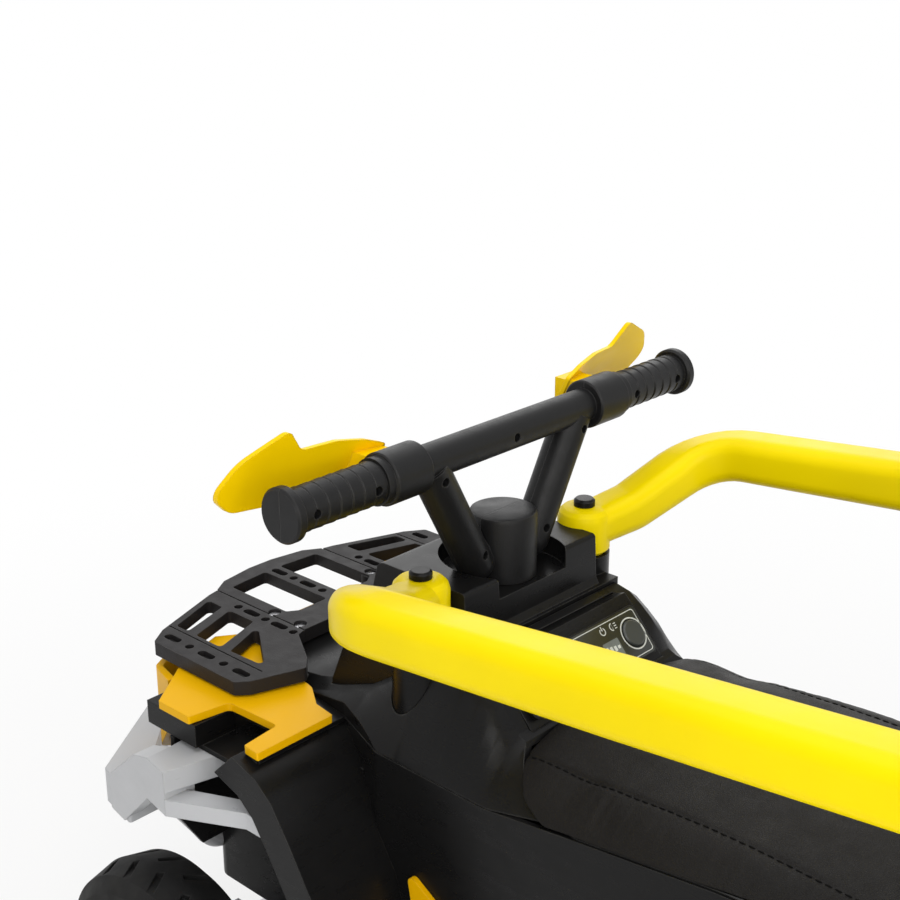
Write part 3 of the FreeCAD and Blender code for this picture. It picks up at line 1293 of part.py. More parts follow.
def export():
    os.makedirs("parts", exist_ok=True)
    for name, shape in parts.items():
        moved = shape.translated(Vector(column_x, 0, 0))
        moved.exportStep(f"parts/{name}.step")
        print(name, len(moved.Solids), round(moved.Volume / 1000.0, 2), moved.isValid())


add_wheels()
add_handlebar()
add_steering()
add_tub()
add_tank_cover()
add_dash()
add_panel()
rail = make_rail()
parts["rail_left"] = rail
parts["rail_right"] = mirrored(rail)
add_seat()
add_rack()
add_fenders()
add_bumper()
add_nose()
add_rear_body()
add_pedal()
add_drive()
add_electrics()
export()
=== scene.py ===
import json
import math

import bmesh
import bpy
from mathutils import Matrix, Vector
from mathutils.bvhtree import BVHTree


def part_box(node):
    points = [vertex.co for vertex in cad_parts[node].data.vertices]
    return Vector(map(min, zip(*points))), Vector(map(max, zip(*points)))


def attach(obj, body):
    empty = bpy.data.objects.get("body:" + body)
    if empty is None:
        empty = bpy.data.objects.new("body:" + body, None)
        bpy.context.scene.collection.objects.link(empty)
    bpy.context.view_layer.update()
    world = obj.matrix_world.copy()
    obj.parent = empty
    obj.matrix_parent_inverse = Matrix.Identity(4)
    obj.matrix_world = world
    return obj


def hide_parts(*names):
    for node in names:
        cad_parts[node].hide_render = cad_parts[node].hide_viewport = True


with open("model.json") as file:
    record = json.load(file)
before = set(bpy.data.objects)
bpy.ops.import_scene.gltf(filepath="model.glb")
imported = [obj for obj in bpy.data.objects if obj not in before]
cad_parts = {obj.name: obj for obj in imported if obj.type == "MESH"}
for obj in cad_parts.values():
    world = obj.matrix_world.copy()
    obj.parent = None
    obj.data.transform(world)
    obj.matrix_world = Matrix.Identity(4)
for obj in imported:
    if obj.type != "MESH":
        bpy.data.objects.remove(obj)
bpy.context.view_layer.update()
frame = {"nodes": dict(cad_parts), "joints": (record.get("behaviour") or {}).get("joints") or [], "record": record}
nodes = frame["nodes"]
steer = next(joint for joint in frame["joints"] if joint["name"] == "steer")
column_x = steer["pos_m"][0]

# Colours, linear
rail_yellow = (0.96, 0.74, 0.0)
guard_yellow = (0.96, 0.63, 0.0)
# Plates: darker and more golden than the rails, partly their own yellow and partly painted shade
plate_yellow_and_shade = (0.86, 0.46, 0.0)
body_black = (0.0065, 0.0064, 0.0066)
bar_black = (0.009, 0.009, 0.0095)
rack_black = (0.017, 0.0155, 0.016)
cover_black = (0.0064, 0.0054, 0.0047)
# Painted shade in the hollows between the pebbles of the seat's leather grain
pebble_gap_shade = (0.004, 0.004, 0.004)
thread_black = (0.0035, 0.0034, 0.0033)
silver_grey = (0.47, 0.48, 0.50)
rim_grey = (0.36, 0.37, 0.39)
case_grey = (0.10, 0.105, 0.11)
key_black = (0.030, 0.034, 0.030)
rubber_black = (0.009, 0.009, 0.0093)
rubber_dust = (0.026, 0.025, 0.023)
rubber_worn = (0.036, 0.035, 0.034)
plastic_worn = (0.75, 0.74, 0.70)
grain_worn = (0.55, 0.54, 0.53)
nylon_white = (0.74, 0.72, 0.66)
zinc = (0.56, 0.56, 0.58)
lens_dim = (0.80, 0.82, 0.84)
lens_clear = (0.92, 0.93, 0.95)
film_black = (0.020, 0.023, 0.019)
mark_pale = (0.62, 0.64, 0.60)
window_grey = (0.16, 0.18, 0.17)
floor_white = (0.86, 0.86, 0.86)
pure_white = (1.0, 1.0, 1.0)
sky_white = (1.0, 0.99, 0.97)
lamp_warm = (1.0, 0.985, 0.96)

# Materials: the part of a noise's values that shows, and the turn where an edge starts and is full
noise_middle = (0.3, 0.7)
edge_turn = (0.99, 0.85)
edge_samples = 4

# Sockets of the mix node by the kind of value: both inputs and the output
mix_sockets = {"RGBA": (6, 7, 2), "VECTOR": (4, 5, 1)}

# Smooth shading of the frame's faces
corner_join = 0.000002
sharp_angle = math.radians(26.0)

# Camera, in metres from the steering column at floor level
camera_place = (-0.6543, 0.7605, 0.8766)
camera_yaw = math.radians(-47.16)
camera_pitch = math.radians(19.93)
camera_lens = 61.56
camera_sensor = 36.0
camera_near = 0.05
camera_far = 50.0

# Lamps: name, place, target, side in metres, power in watts and colour
lamps = [
    ("top softbox", (0.1, 0.2, 2.3), (0.0, 0.0, 0.3), 2.4, 26.0, pure_white),
    ("side softbox", (-1.7, 1.9, 1.5), (0.05, 0.0, 0.35), 1.6, 29.0, lamp_warm),
    ("far softbox", (1.4, -1.8, 1.6), (0.05, 0.0, 0.35), 1.6, 12.0, pure_white),
    ("rear softbox", (-2.0, 0.3, 0.8), (0.1, 0.0, 0.5), 1.4, 14.0, lamp_warm),
]
sky_strength = 0.42

# Floor: distance from the middle and share of plain white there, so that shadows show only near the object
floor_size = 60.0
floor_rough = 0.8
glow_near = (0.35, 0.70)
glow_far = (1.5, 1.0)

# Seat cushion: the grid on the pad, in shares of the side's height and of the top's half width
pad_rings = 64
side_parts = [0.0, 0.05, 0.16, 0.30, 0.45, 0.60, 0.74, 0.85, 0.93, 1.0]
top_parts = [0.984, 0.965, 0.94, 0.90, 0.85, 0.79, 0.72, 0.64,
             0.56, 0.48, 0.40, 0.32, 0.24, 0.16, 0.08, 0.0]
pad_keel = 0.002
nose_curve = [(-0.090, 0.364), (-0.111, 0.341), (-0.156, 0.331)]
front_share = 0.004
tail_gap = 0.0003
edge_lift = 0.0002

# Search for the grid's points: where rays start, the least half width, the first height and the steps taken
cast_from_side = 0.4
cast_from_top = 0.7
side_least = 0.05
edge_below = 0.001
nose_start_z = 0.34
edge_halvings = 18
side_tries = 6
top_tries = 4

# Swelling of the cushion
pad_swell = 0.0022
pad_frames = 20
pad_pressure = 4.0
cloth_quality = 4
cloth_bending = 5.0
pad_neighbours = ["tank_cover", "seat_base", "chassis_tub", "backrest"]
neighbour_clear = 0.0010
neighbour_fade = 0.010
subdivisions = 2

# Sewn edge: places along the seat from the column and heights, its groove and the wrinkles below it
seam_half_width = 0.0905
seam_line = [(-0.099, 0.3525), (-0.116, 0.3541), (-0.130, 0.3549), (-0.152, 0.3557), (-0.174, 0.3570),
             (-0.193, 0.3581), (-0.210, 0.3590), (-0.238, 0.3599), (-0.267, 0.3600), (-0.380, 0.3630)]
groove_depth = 0.0013
groove_width = 0.0024
wrinkle_height = 0.00022
wrinkle_start = 0.004
wrinkle_reach = 0.026
seam_reach = 1.2 * wrinkle_reach

# Waves of the wrinkles: share, pace along the seat, how far and at which pace they wander, and slant
wrinkle_waves = [(1.0, 520.0, 1.7, 143.0, 60.0), (0.6, 890.0, 2.1, 97.0, -40.0)]

# Slow rise and fall of both waves along the seat
swell_mean = 0.6
swell_range = 0.4
swell_pace = 61.0

# Stitches
stitch_pitch = 0.0062
stitch_length = 0.0046
stitch_radius = 0.00055
stitch_flatness = 1.2
stitch_proud = 0.35
stitch_offset = 0.0032
stitch_search = 0.01
stitch_sides = 8
stitch_rings = 6

# Control panel: its middle from the column, and the directions up its slope and out of its face
panel_middle = (-0.0775, 0.0, 0.3785)
panel_up = (0.652939, 0.0, 0.757410)
panel_out = (-0.757410, 0.0, 0.652939)
panel_half_width = 0.068
panel_half_height = 0.01915
film_inset = 0.0012
film_corner = 0.003
film_low = 0.00002
film_high = 0.0003
mark_high = 0.00042
gauge_high = 0.00052

# Keys on the panel, the gap round them and the printed lines, as distances from the edge that they follow
power_y = -0.054
power_radius = 0.010
horn_y = 0.010
horn_radius = 0.005
rocker_y = 0.036
rocker_half = (0.0097, 0.0073)
rocker_corner = 0.0008
key_gap = 0.0006
power_line = (0.0012, 0.0022)
horn_line = (0.0014, 0.0020)
border_line = (0.0028, 0.0034)
border_corners = (0.0025, 0.0022)

# Signs, window and gauge on the panel
sign_up = 0.0110
sign_radius = 0.0030
sign_width = 0.0008
sign_corner = 0.0003
lamp_sign_y = -0.0380
lamp_sign_angles = (-90, 90)
ray_y = -0.0412
ray_half = (0.0013, 0.00035)
ray_lifts = (-0.0018, 0.0, 0.0018)
power_sign_y = -0.0270
power_sign_angles = (-235, 55)
power_bar_up = 0.0132
power_bar_half = (0.0004, 0.0017)
arrow_tip = 0.0132
arrow_foot = 0.0104
arrow_half = 0.0026
window_middle = (-0.0285, -0.0035)
window_half = (0.0085, 0.0065)
window_corner = 0.001
gauge_bars = 4
gauge_start_y = -0.0345
gauge_pitch = 0.0040
gauge_half = (0.0013, 0.0012)
gauge_growth = 0.0007


# Materials
class Look:
    """Node material built up step by step; its coordinates are the piece's own metres."""

    def __init__(self, name):
        self.material = bpy.data.materials.new(name)
        self.material.use_nodes = True
        self.tree = self.material.node_tree
        self.shader = self.tree.nodes["Principled BSDF"]
        self.place = self.add("ShaderNodeTexCoord").outputs["Object"]

    def add(self, kind, **settings):
        made = self.tree.nodes.new(kind)
        for key, value in settings.items():
            setattr(made, key, value)
        return made

    def feed(self, socket, value):
        if isinstance(value, bpy.types.NodeSocket):
            self.tree.links.new(value, socket)
        else:
            socket.default_value = value

    def stretched(self, factors):
        made = self.add("ShaderNodeMapping")
        self.feed(made.inputs["Vector"], self.place)
        made.inputs["Scale"].default_value = factors
        return made.outputs["Vector"]

    def noise(self, scale, detail=3.0, place=None, output="Fac"):
        made = self.add("ShaderNodeTexNoise")
        self.feed(made.inputs["Vector"], place or self.place)
        made.inputs["Scale"].default_value = scale
        made.inputs["Detail"].default_value = detail
        return made.outputs[output]

    def cells(self, scale, feature="F1", place=None):
        made = self.add("ShaderNodeTexVoronoi", feature=feature)
        self.feed(made.inputs["Vector"], place or self.place)
        made.inputs["Scale"].default_value = scale
        return made.outputs["Distance"]

    def span(self, value, between, to):
        """Carry the values between two limits over to two others."""
        made = self.add("ShaderNodeMapRange")
        self.feed(made.inputs["Value"], value)
        made.inputs["From Min"].default_value = between[0]
        made.inputs["From Max"].default_value = between[1]
        made.inputs["To Min"].default_value = to[0]
        made.inputs["To Max"].default_value = to[1]
        return made.outputs["Result"]

    def spread(self, noise, to=(0.0, 1.0)):
        """Stretch the middle of a noise's values over a whole range."""
        return self.span(noise, noise_middle, to)

    def maths(self, operation, first, second):
        made = self.add("ShaderNodeMath", operation=operation)
        self.feed(made.inputs[0], first)
        self.feed(made.inputs[1], second)
        return made.outputs[0]

    def mix(self, factor, first, second, kind="RGBA"):
        first_place, second_place, result_place = mix_sockets[kind]
        made = self.add("ShaderNodeMix", data_type=kind)
        self.feed(made.inputs["Factor"], factor)
        self.feed(made.inputs[first_place], first)
        self.feed(made.inputs[second_place], second)
        return made.outputs[result_place]

    def rounded(self, radius):
        made = self.add("ShaderNodeBevel", samples=edge_samples)
        made.inputs["Radius"].default_value = radius
        return made.outputs["Normal"]

    def edge(self, rounded):
        """Near one along edges and zero on open faces."""
        plain = self.add("ShaderNodeNewGeometry").outputs["Normal"]
        made = self.add("ShaderNodeVectorMath", operation="DOT_PRODUCT")
        self.feed(made.inputs[0], rounded)
        self.feed(made.inputs[1], plain)
        return self.span(made.outputs["Value"], edge_turn, (0.0, 1.0))

    def rubbed(self, rounded, scuff, between, to):
        """Uneven wear along the edges."""
        return self.maths("MULTIPLY", self.edge(rounded), self.span(scuff, between, to))

    def bump(self, height, distance, normal=None, strength=1.0):
        made = self.add("ShaderNodeBump")
        made.inputs["Strength"].default_value = strength
        made.inputs["Distance"].default_value = distance
        self.feed(made.inputs["Height"], height)
        if normal is not None:
            self.feed(made.inputs["Normal"], normal)
        return made.outputs["Normal"]

    def set(self, **values):
        for key, value in values.items():
            self.feed(self.shader.inputs[key.replace("_", " ")], value)
        return self.material


def opaque(colour):
    return tuple(colour) + (1.0,)


def shade(colour, factor):
    return opaque(min(1.0, value * factor) for value in colour)


def toward(colour, other, share):
    return opaque(a + (b - a) * share for a, b in zip(colour, other))


def plastic(name, colour, rough, grain=0.00003, wear=0.25, gloss=0.5, coat=0.0, soft_edge=0.0012):
    """Moulded plastic: faint clouding, fine mould grain, rubbed edges and uneven polish."""
    look = Look(name)
    cloud = look.spread(look.noise(scale=6.0))
    scuff = look.noise(scale=70.0, detail=5.0)
    streak = look.noise(scale=35.0, detail=4.0, place=look.stretched((1.0, 1.0, 6.0)))
    base = look.mix(cloud, shade(colour, 0.92), shade(colour, 1.06))
    rounded = look.rounded(soft_edge)
    rubbed = look.rubbed(rounded, scuff, between=(0.42, 0.62), to=(0.1, wear))
    base = look.mix(rubbed, base, toward(colour, plastic_worn, share=0.30))
    streaked = look.spread(streak, to=(rough - 0.04, rough + 0.05))
    scuffed = look.span(scuff, between=(0.45, 0.75), to=(-0.02, 0.05))
    polish = look.maths("ADD", streaked, scuffed)
    fine = look.bump(look.noise(scale=1500.0, detail=2.0), distance=grain, normal=rounded)
    normal = look.bump(look.noise(scale=16.0, detail=2.0), distance=0.0004, normal=fine, strength=0.35)
    return look.set(Base_Color=base, Roughness=polish, Normal=normal, Specular_IOR_Level=gloss,
                    Coat_Weight=coat, Coat_Roughness=0.12)


def grained(name, colour, rough, cell, height, wear=0.3):
    """Plastic with a pebbled mould texture."""
    look = Look(name)
    cloud = look.spread(look.noise(scale=8.0, detail=4.0))
    base = look.mix(cloud, shade(colour, 0.86), shade(colour, 1.12))
    scuff = look.noise(scale=90.0, detail=5.0)
    rounded = look.rounded(0.0011)
    rubbed = look.rubbed(rounded, scuff, between=(0.40, 0.62), to=(0.1, wear))
    base = look.mix(rubbed, base, toward(colour, grain_worn, share=0.25))
    pebble = look.maths("ADD", look.cells(cell), look.noise(scale=cell * 0.6))
    normal = look.bump(pebble, distance=height, normal=rounded)
    polish = look.spread(scuff, to=(rough - 0.05, rough + 0.08))
    return look.set(Base_Color=base, Roughness=polish, Normal=normal, Specular_IOR_Level=0.18)


def rubber(name):
    """Tyre rubber: dusty patches, paler tread edges and a fine grain."""
    look = Look(name)
    dust = look.span(look.noise(scale=28.0, detail=5.0), between=(0.45, 0.75), to=(0.0, 0.55))
    base = look.mix(dust, shade(rubber_black, 0.9), opaque(rubber_dust))
    rounded = look.rounded(0.0015)
    rubbed = look.rubbed(rounded, look.noise(scale=60.0, detail=4.0), between=(0.4, 0.6), to=(0.1, 0.5))
    base = look.mix(rubbed, base, opaque(rubber_worn))
    normal = look.bump(look.noise(scale=900.0), distance=0.00006, normal=rounded)
    polish = look.spread(look.noise(scale=45.0, detail=4.0), to=(0.62, 0.80))
    return look.set(Base_Color=base, Roughness=polish, Normal=normal, Specular_IOR_Level=0.18)


def metal(name, colour):
    """Plated steel with a faint brushed grain."""
    look = Look(name)
    brushed = look.noise(scale=260.0, detail=4.0, place=look.stretched((1.0, 0.06, 1.0)))
    cloud = look.spread(look.noise(scale=40.0, detail=4.0))
    base = look.mix(cloud, shade(colour, 0.85), shade(colour, 1.1))
    normal = look.bump(brushed, distance=0.00004, normal=look.rounded(0.0006))
    polish = look.spread(brushed, to=(0.28, 0.42))
    return look.set(Base_Color=base, Roughness=polish, Normal=normal, Metallic=1.0)


def leather(name):
    """Leather-look cover: small irregular pebbles with painted shade between them, soft creases and uneven polish.
    """
    look = Look(name)
    warp = look.noise(scale=240.0, detail=2.0, output="Color")
    pushed = look.mix(0.0012, look.place, warp, kind="VECTOR")
    pebble = look.cells(scale=850.0, feature="DISTANCE_TO_EDGE", place=pushed)
    grain = look.span(pebble, between=(0.0, 0.25), to=(0.0, 1.0))
    # Painted shade: darker at the edges of each pebble, in the hollows between them
    gap_shade_mask = look.span(pebble, between=(0.0, 0.10), to=(0.5, 0.0))
    cloud = look.spread(look.noise(scale=14.0, detail=4.0))
    base = look.mix(cloud, shade(cover_black, 0.85), shade(cover_black, 1.25))
    base = look.mix(gap_shade_mask, base, opaque(pebble_gap_shade))
    crease = look.bump(look.noise(scale=95.0, detail=5.0), distance=0.0005, strength=0.5)
    normal = look.bump(grain, distance=0.00012, normal=crease)
    polish = look.spread(look.noise(scale=60.0, detail=4.0), to=(0.40, 0.55))
    return look.set(Base_Color=base, Roughness=polish, Normal=normal, Specular_IOR_Level=0.13)


def clear_lens(name):
    """Clear moulded lens with upright ribs."""
    look = Look(name)
    ribs = look.add("ShaderNodeTexWave", bands_direction="Y")
    look.feed(ribs.inputs["Vector"], look.place)
    ribs.inputs["Scale"].default_value = 90.0
    ribs.inputs["Distortion"].default_value = 0.0
    normal = look.bump(ribs.outputs["Fac"], distance=0.0006)
    tint = look.mix(look.noise(scale=30.0), opaque(lens_dim), opaque(lens_clear))
    return look.set(Base_Color=tint, Normal=normal, Roughness=0.08, Transmission_Weight=0.75, IOR=1.5)


def printed(name, colour, rough, gloss=0.5):
    """Thin printed film, ink or thread with a faint unevenness."""
    look = Look(name)
    cloud = look.spread(look.noise(scale=120.0, detail=4.0))
    base = look.mix(cloud, shade(colour, 0.88), shade(colour, 1.08))
    normal = look.bump(look.noise(scale=500.0), distance=0.00002)
    polish = look.spread(look.noise(scale=80.0, detail=4.0), to=(rough - 0.03, rough + 0.05))
    return look.set(Base_Color=base, Roughness=polish, Normal=normal, Specular_IOR_Level=gloss)


yellow_finish = {"grain": 0.00002, "gloss": 0.10}
looks = {
    "rail": plastic("rail yellow", rail_yellow, rough=0.34, wear=0.03, soft_edge=0.0015, **yellow_finish),
    "guard": plastic("guard yellow", guard_yellow, rough=0.36, wear=0.05, **yellow_finish),
    # Plates: their yellow with painted shade in it
    "plate": plastic("plate yellow and painted shade", plate_yellow_and_shade, rough=0.38, wear=0.05, **yellow_finish),
    "body": plastic("body black", body_black, rough=0.30, wear=0.20, gloss=0.13),
    "bar": grained("bar black", bar_black, rough=0.40, cell=1300.0, height=0.00005),
    "rack": grained("rack black", rack_black, rough=0.52, cell=1100.0, height=0.00008, wear=0.5),
    "grey": plastic("silver grey", silver_grey, rough=0.33, wear=0.2, coat=0.1),
    "rim": plastic("rim grey", rim_grey, rough=0.35, wear=0.3, coat=0.1),
    "tyre": rubber("tyre black"),
    "gear": plastic("nylon", nylon_white, rough=0.45, wear=0.1),
    "steel": metal("zinc steel", zinc),
    "cover": leather("seat leather"),
    "lens": clear_lens("clear lens"),
    "film": printed("panel film", film_black, rough=0.16),
    "mark": printed("panel marks", mark_pale, rough=0.40),
    "window": printed("panel window", window_grey, rough=0.20),
    "thread": printed("thread", thread_black, rough=0.60, gloss=0.06),
    "case": plastic("case grey", case_grey, rough=0.42, wear=0.2),
    "key": plastic("key black", key_black, rough=0.30, wear=0.2),
}
slot_looks = {
    "black_plastic": "body", "yellow_plastic": "plate", "grey_plastic": "grey", "rim_plastic": "rim",
    "gear_plastic": "gear", "steel": "steel", "tyre": "tyre", "seat_cover": "cover", "lens": "lens",
}
node_looks = {
    "rail_left": "rail", "rail_right": "rail", "handguard_left": "guard", "handguard_right": "guard",
    "handlebar_front_shell": "bar", "handlebar_rear_shell": "bar", "front_rack": "rack", "battery": "case",
    "power_button": "key", "horn_button": "key", "direction_rocker": "key",
}


def smoothing_group():
    """Modifier nodes that join shared corners and shade faces smooth up to the sharp angle."""
    group = bpy.data.node_groups.new("smooth by angle", "GeometryNodeTree")
    group.interface.new_socket("Geometry", in_out="INPUT", socket_type="NodeSocketGeometry")
    group.interface.new_socket("Geometry", in_out="OUTPUT", socket_type="NodeSocketGeometry")
    start = group.nodes.new("NodeGroupInput")
    end = group.nodes.new("NodeGroupOutput")
    joined = group.nodes.new("GeometryNodeMergeByDistance")
    joined.inputs["Distance"].default_value = corner_join
    angle = group.nodes.new("GeometryNodeInputMeshEdgeAngle")
    sharp = group.nodes.new("FunctionNodeCompare")
    sharp.inputs["B"].default_value = sharp_angle
    shaded = group.nodes.new("GeometryNodeSetMeshNormal")
    shaded.mode = "SHARPNESS"
    group.links.new(start.outputs[0], joined.inputs["Geometry"])
    group.links.new(angle.outputs["Unsigned Angle"], sharp.inputs["A"])
    group.links.new(joined.outputs["Geometry"], shaded.inputs["Mesh"])
    group.links.new(sharp.outputs["Result"], shaded.inputs["Edge Sharpness"])
    group.links.new(shaded.outputs["Mesh"], end.inputs[0])
    return group


def dress():
    """Give every node of the frame its material and smooth shading."""
    group = smoothing_group()
    for row in frame["record"]["subparts"]:
        name = row["node"]
        chosen = looks[node_looks.get(name, slot_looks[row["material_slot"]])]
        node = nodes[name]
        if not node.material_slots:
            node.data.materials.append(chosen)
        for slot in node.material_slots:
            slot.material = chosen
        node.modifiers.new("Smooth by angle", "NODES").node_group = group


# Meshes and pieces
def add_object(name, data):
    made = bpy.data.objects.new(name, data)
    bpy.context.scene.collection.objects.link(made)
    return made


def add_piece(name, mesh, look, body):
    piece = add_object(name, mesh)
    mesh.materials.clear()
    mesh.materials.append(looks[look])
    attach(piece, body)
    return piece


def finished(body, name):
    """Mesh of a body under construction, with its faces turned outward."""
    bmesh.ops.recalc_face_normals(body, faces=body.faces)
    mesh = bpy.data.meshes.new(name)
    body.to_mesh(mesh)
    body.free()
    return mesh


def baked(piece):
    """Mesh of a piece with its modifiers applied."""
    graph = bpy.context.evaluated_depsgraph_get()
    return bpy.data.meshes.new_from_object(piece.evaluated_get(graph))


def smooth(mesh):
    mesh.polygons.foreach_set("use_smooth", [True] * len(mesh.polygons))
    mesh.update()


def corner_points(mesh):
    return [vertex.co.copy() for vertex in mesh.vertices]


def surface_tree(meshes):
    """Search tree over the faces of some meshes."""
    points = []
    faces = []
    for mesh in meshes:
        start = len(points)
        points.extend(corner_points(mesh))
        faces.extend([start + index for index in polygon.vertices] for polygon in mesh.polygons)
    return BVHTree.FromPolygons(points, faces)


# Seat cushion
def seam_at(x):
    """Height of the sewn edge over the floor at a place along the seat."""
    along = x - column_x
    for (near_x, near_z), (far_x, far_z) in zip(seam_line, seam_line[1:]):
        if along >= far_x:
            share = (along - near_x) / (far_x - near_x)
            return near_z + share * (far_z - near_z)
    return seam_line[-1][1]


def nose_front():
    """Front edge of the pad as a function of height: an arc, the curved joint with the tank cover."""
    (ax, az), (bx, bz), (cx, cz) = nose_curve
    first = ax * ax + az * az
    second = bx * bx + bz * bz
    third = cx * cx + cz * cz
    turn = 2.0 * (ax * (bz - cz) + bx * (cz - az) + cx * (az - bz))
    middle_x = (first * (bz - cz) + second * (cz - az) + third * (az - bz)) / turn
    middle_z = (first * (cx - bx) + second * (ax - cx) + third * (bx - ax)) / turn
    radius = math.hypot(ax - middle_x, az - middle_z)
    side = 1.0 if ax > middle_x else -1.0

    def front(z):
        drop = max(cz, min(az, z)) - middle_z
        return column_x + middle_x + side * math.sqrt(max(0.0, radius * radius - drop * drop))

    return front


def pad_grid():
    """Half rings of points on the pad, from its lower left edge up to the middle of its top."""
    tree = surface_tree([nodes["seat_pad"].data])
    low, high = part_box("seat_pad")
    tail = low[0] + tail_gap
    front = nose_front()

    def place_along(share, z):
        return front(z) + share * (tail - front(z))

    def side_point(x, z):
        spot = tree.ray_cast(Vector((x, cast_from_side, z)), Vector((0.0, -1.0, 0.0)))[0]
        return spot if spot is not None and spot.y > side_least else None

    def top_point(x, y):
        return tree.ray_cast(Vector((x, y, cast_from_top)), Vector((0.0, 0.0, -1.0)))[0]

    def lower_edge(x):
        bottom = low[2] - edge_below
        top = seam_at(x)
        for step in range(edge_halvings):
            middle = (bottom + top) / 2.0
            if side_point(x, middle) is None:
                bottom = middle
            else:
                top = middle
        return top + edge_lift

    def on_side(share, part):
        x = place_along(share, nose_start_z)
        spot = None
        for again in range(side_tries):
            edge = lower_edge(x)
            z = edge + part * (seam_at(x) - edge)
            found = side_point(x, z)
            if found is not None:
                spot = Vector((x, found.y, z))
            x = place_along(share, z)
        return spot

    def on_top(share, y, z):
        spot = None
        for again in range(top_tries):
            found = top_point(place_along(share, z), y)
            if found is not None:
                spot = found.copy()
                z = spot.z
        return spot

    rings = []
    for step in range(pad_rings + 1):
        share = front_share + (1.0 - front_share) * step / pad_rings
        side = [on_side(share, part) for part in side_parts]
        corner = side[-1]
        top = [on_top(share, part * corner.y, corner.z) for part in top_parts]
        rings.append(side + top)
    return rings


def form_mesh():
    """Closed pad: sides and top from the grid, an underside that hangs in its middle, and plain ends."""
    body = bmesh.new()
    loops = []
    for left in pad_grid():
        right = [Vector((point.x, -point.y, point.z)) for point in reversed(left[:-1])]
        over = left + right
        last = len(over) - 1
        under = []
        for step in range(1, last):
            share = step / last
            point = over[-1].lerp(over[0], share)
            under.append(Vector((point.x, point.y, point.z - pad_keel * math.sin(math.pi * share))))
        loops.append([body.verts.new(point) for point in over + under])
    count = len(loops[0])
    for near, far in zip(loops, loops[1:]):
        for step in range(count):
            after = (step + 1) % count
            body.faces.new((near[step], near[after], far[after], far[step]))
    for loop in (loops[0], loops[-1]):
        for step in range(count // 2):
            corners = [loop[step], loop[step + 1], loop[count - step - 1], loop[(count - step) % count]]
            body.faces.new(list(dict.fromkeys(corners)))
    return finished(body, "seat_form")


def inflate(piece):
    """Swell the pad with a short cloth run and return its new points."""
    cloth = piece.modifiers.new("Cloth", "CLOTH")
    cloth.settings.use_pressure = True
    cloth.settings.uniform_pressure_force = pad_pressure
    cloth.settings.effector_weights.gravity = 0.0
    cloth.settings.quality = cloth_quality
    cloth.settings.bending_stiffness = cloth_bending
    cloth.point_cache.frame_start = 1
    cloth.point_cache.frame_end = pad_frames
    scene = bpy.context.scene
    for step in range(1, pad_frames + 1):
        scene.frame_set(step)
    mesh = baked(piece)
    points = corner_points(mesh)
    piece.modifiers.remove(cloth)
    scene.frame_set(1)
    bpy.data.meshes.remove(mesh)
    return points


def swell(piece):
    """Move the pad's points toward the swollen ones, less and less near its neighbours."""
    mesh = piece.data
    rest = corner_points(mesh)
    swollen = inflate(piece)
    near = surface_tree([nodes[name].data for name in pad_neighbours])
    for vertex, start, end in zip(mesh.vertices, rest, swollen):
        spot, normal, index, distance = near.find_nearest(start)
        weight = max(0.0, min(1.0, (distance - neighbour_clear) / neighbour_fade))
        move = end - start
        if move.length > pad_swell:
            move = move * (pad_swell / move.length)
        vertex.co = start + move * weight
    mesh.update()


def wrinkle(along, drop):
    """Wrinkle at a place along the seat and below the sewn edge, as a share of the wrinkles' height."""
    total = 0.0
    for share, pace, wander, wander_pace, slant in wrinkle_waves:
        total = total + share * math.sin(along * pace + wander * math.sin(along * wander_pace) + slant * drop)
    return total * (swell_mean + swell_range * math.sin(along * swell_pace))


def sew(mesh):
    """Press the sewn edge in and draw small wrinkles below it."""
    normals = [vertex.normal.copy() for vertex in mesh.vertices]
    for vertex, normal in zip(mesh.vertices, normals):
        point = vertex.co
        along = point.x - column_x
        if along > seam_line[0][0] or along < seam_line[-1][0]:
            continue
        drop = seam_at(point.x) - point.z
        away = math.hypot(drop, seam_half_width - abs(point.y))
        if away > seam_reach:
            continue
        push = -groove_depth * math.exp(-(away / groove_width) ** 2)
        if drop > 0.0:
            fade = max(0.0, 1.0 - drop / wrinkle_reach) * min(1.0, drop / wrinkle_start)
            push = push + wrinkle_height * fade * wrinkle(along, drop)
        vertex.co = point + normal * push


def seam_points(side):
    """Points along one side's sewn edge, a stitch's pitch apart."""
    start_x = seam_line[0][0]
    end_x = seam_line[-1][0]
    points = []
    for step in range(int((start_x - end_x) / stitch_pitch) + 1):
        x = column_x + start_x - step * stitch_pitch
        points.append(Vector((x, side * seam_half_width, seam_at(x))))
    return points


def add_stitch(body, near, far, tree):
    """One slim flat bead of thread, lying on the cover below the sewn edge."""
    middle = (near + far) / 2.0 - Vector((0.0, 0.0, stitch_offset))
    spot, normal, index, distance = tree.find_nearest(middle)
    if spot is None or distance > stitch_search:
        return
    along = (far - near).normalized()
    along = (along - normal * along.dot(normal)).normalized()
    turn = Matrix((along, normal.cross(along), normal)).transposed().to_4x4()
    place = Matrix.Translation(spot + normal * stitch_radius * stitch_proud) @ turn
    made = bmesh.ops.create_uvsphere(body, u_segments=stitch_sides, v_segments=stitch_rings, radius=1.0)
    for vertex in made["verts"]:
        local = vertex.co
        length = local.z * stitch_length / 2.0
        width = local.y * stitch_radius * stitch_flatness
        vertex.co = place @ Vector((length, width, local.x * stitch_radius))


def add_stitches(tree):
    body = bmesh.new()
    for side in (1, -1):
        points = seam_points(side)
        for near, far in zip(points, points[1:]):
            add_stitch(body, near, far, tree)
    mesh = finished(body, "seat_stitches")
    smooth(mesh)
    add_piece("seat_stitches", mesh, "thread", "chassis")


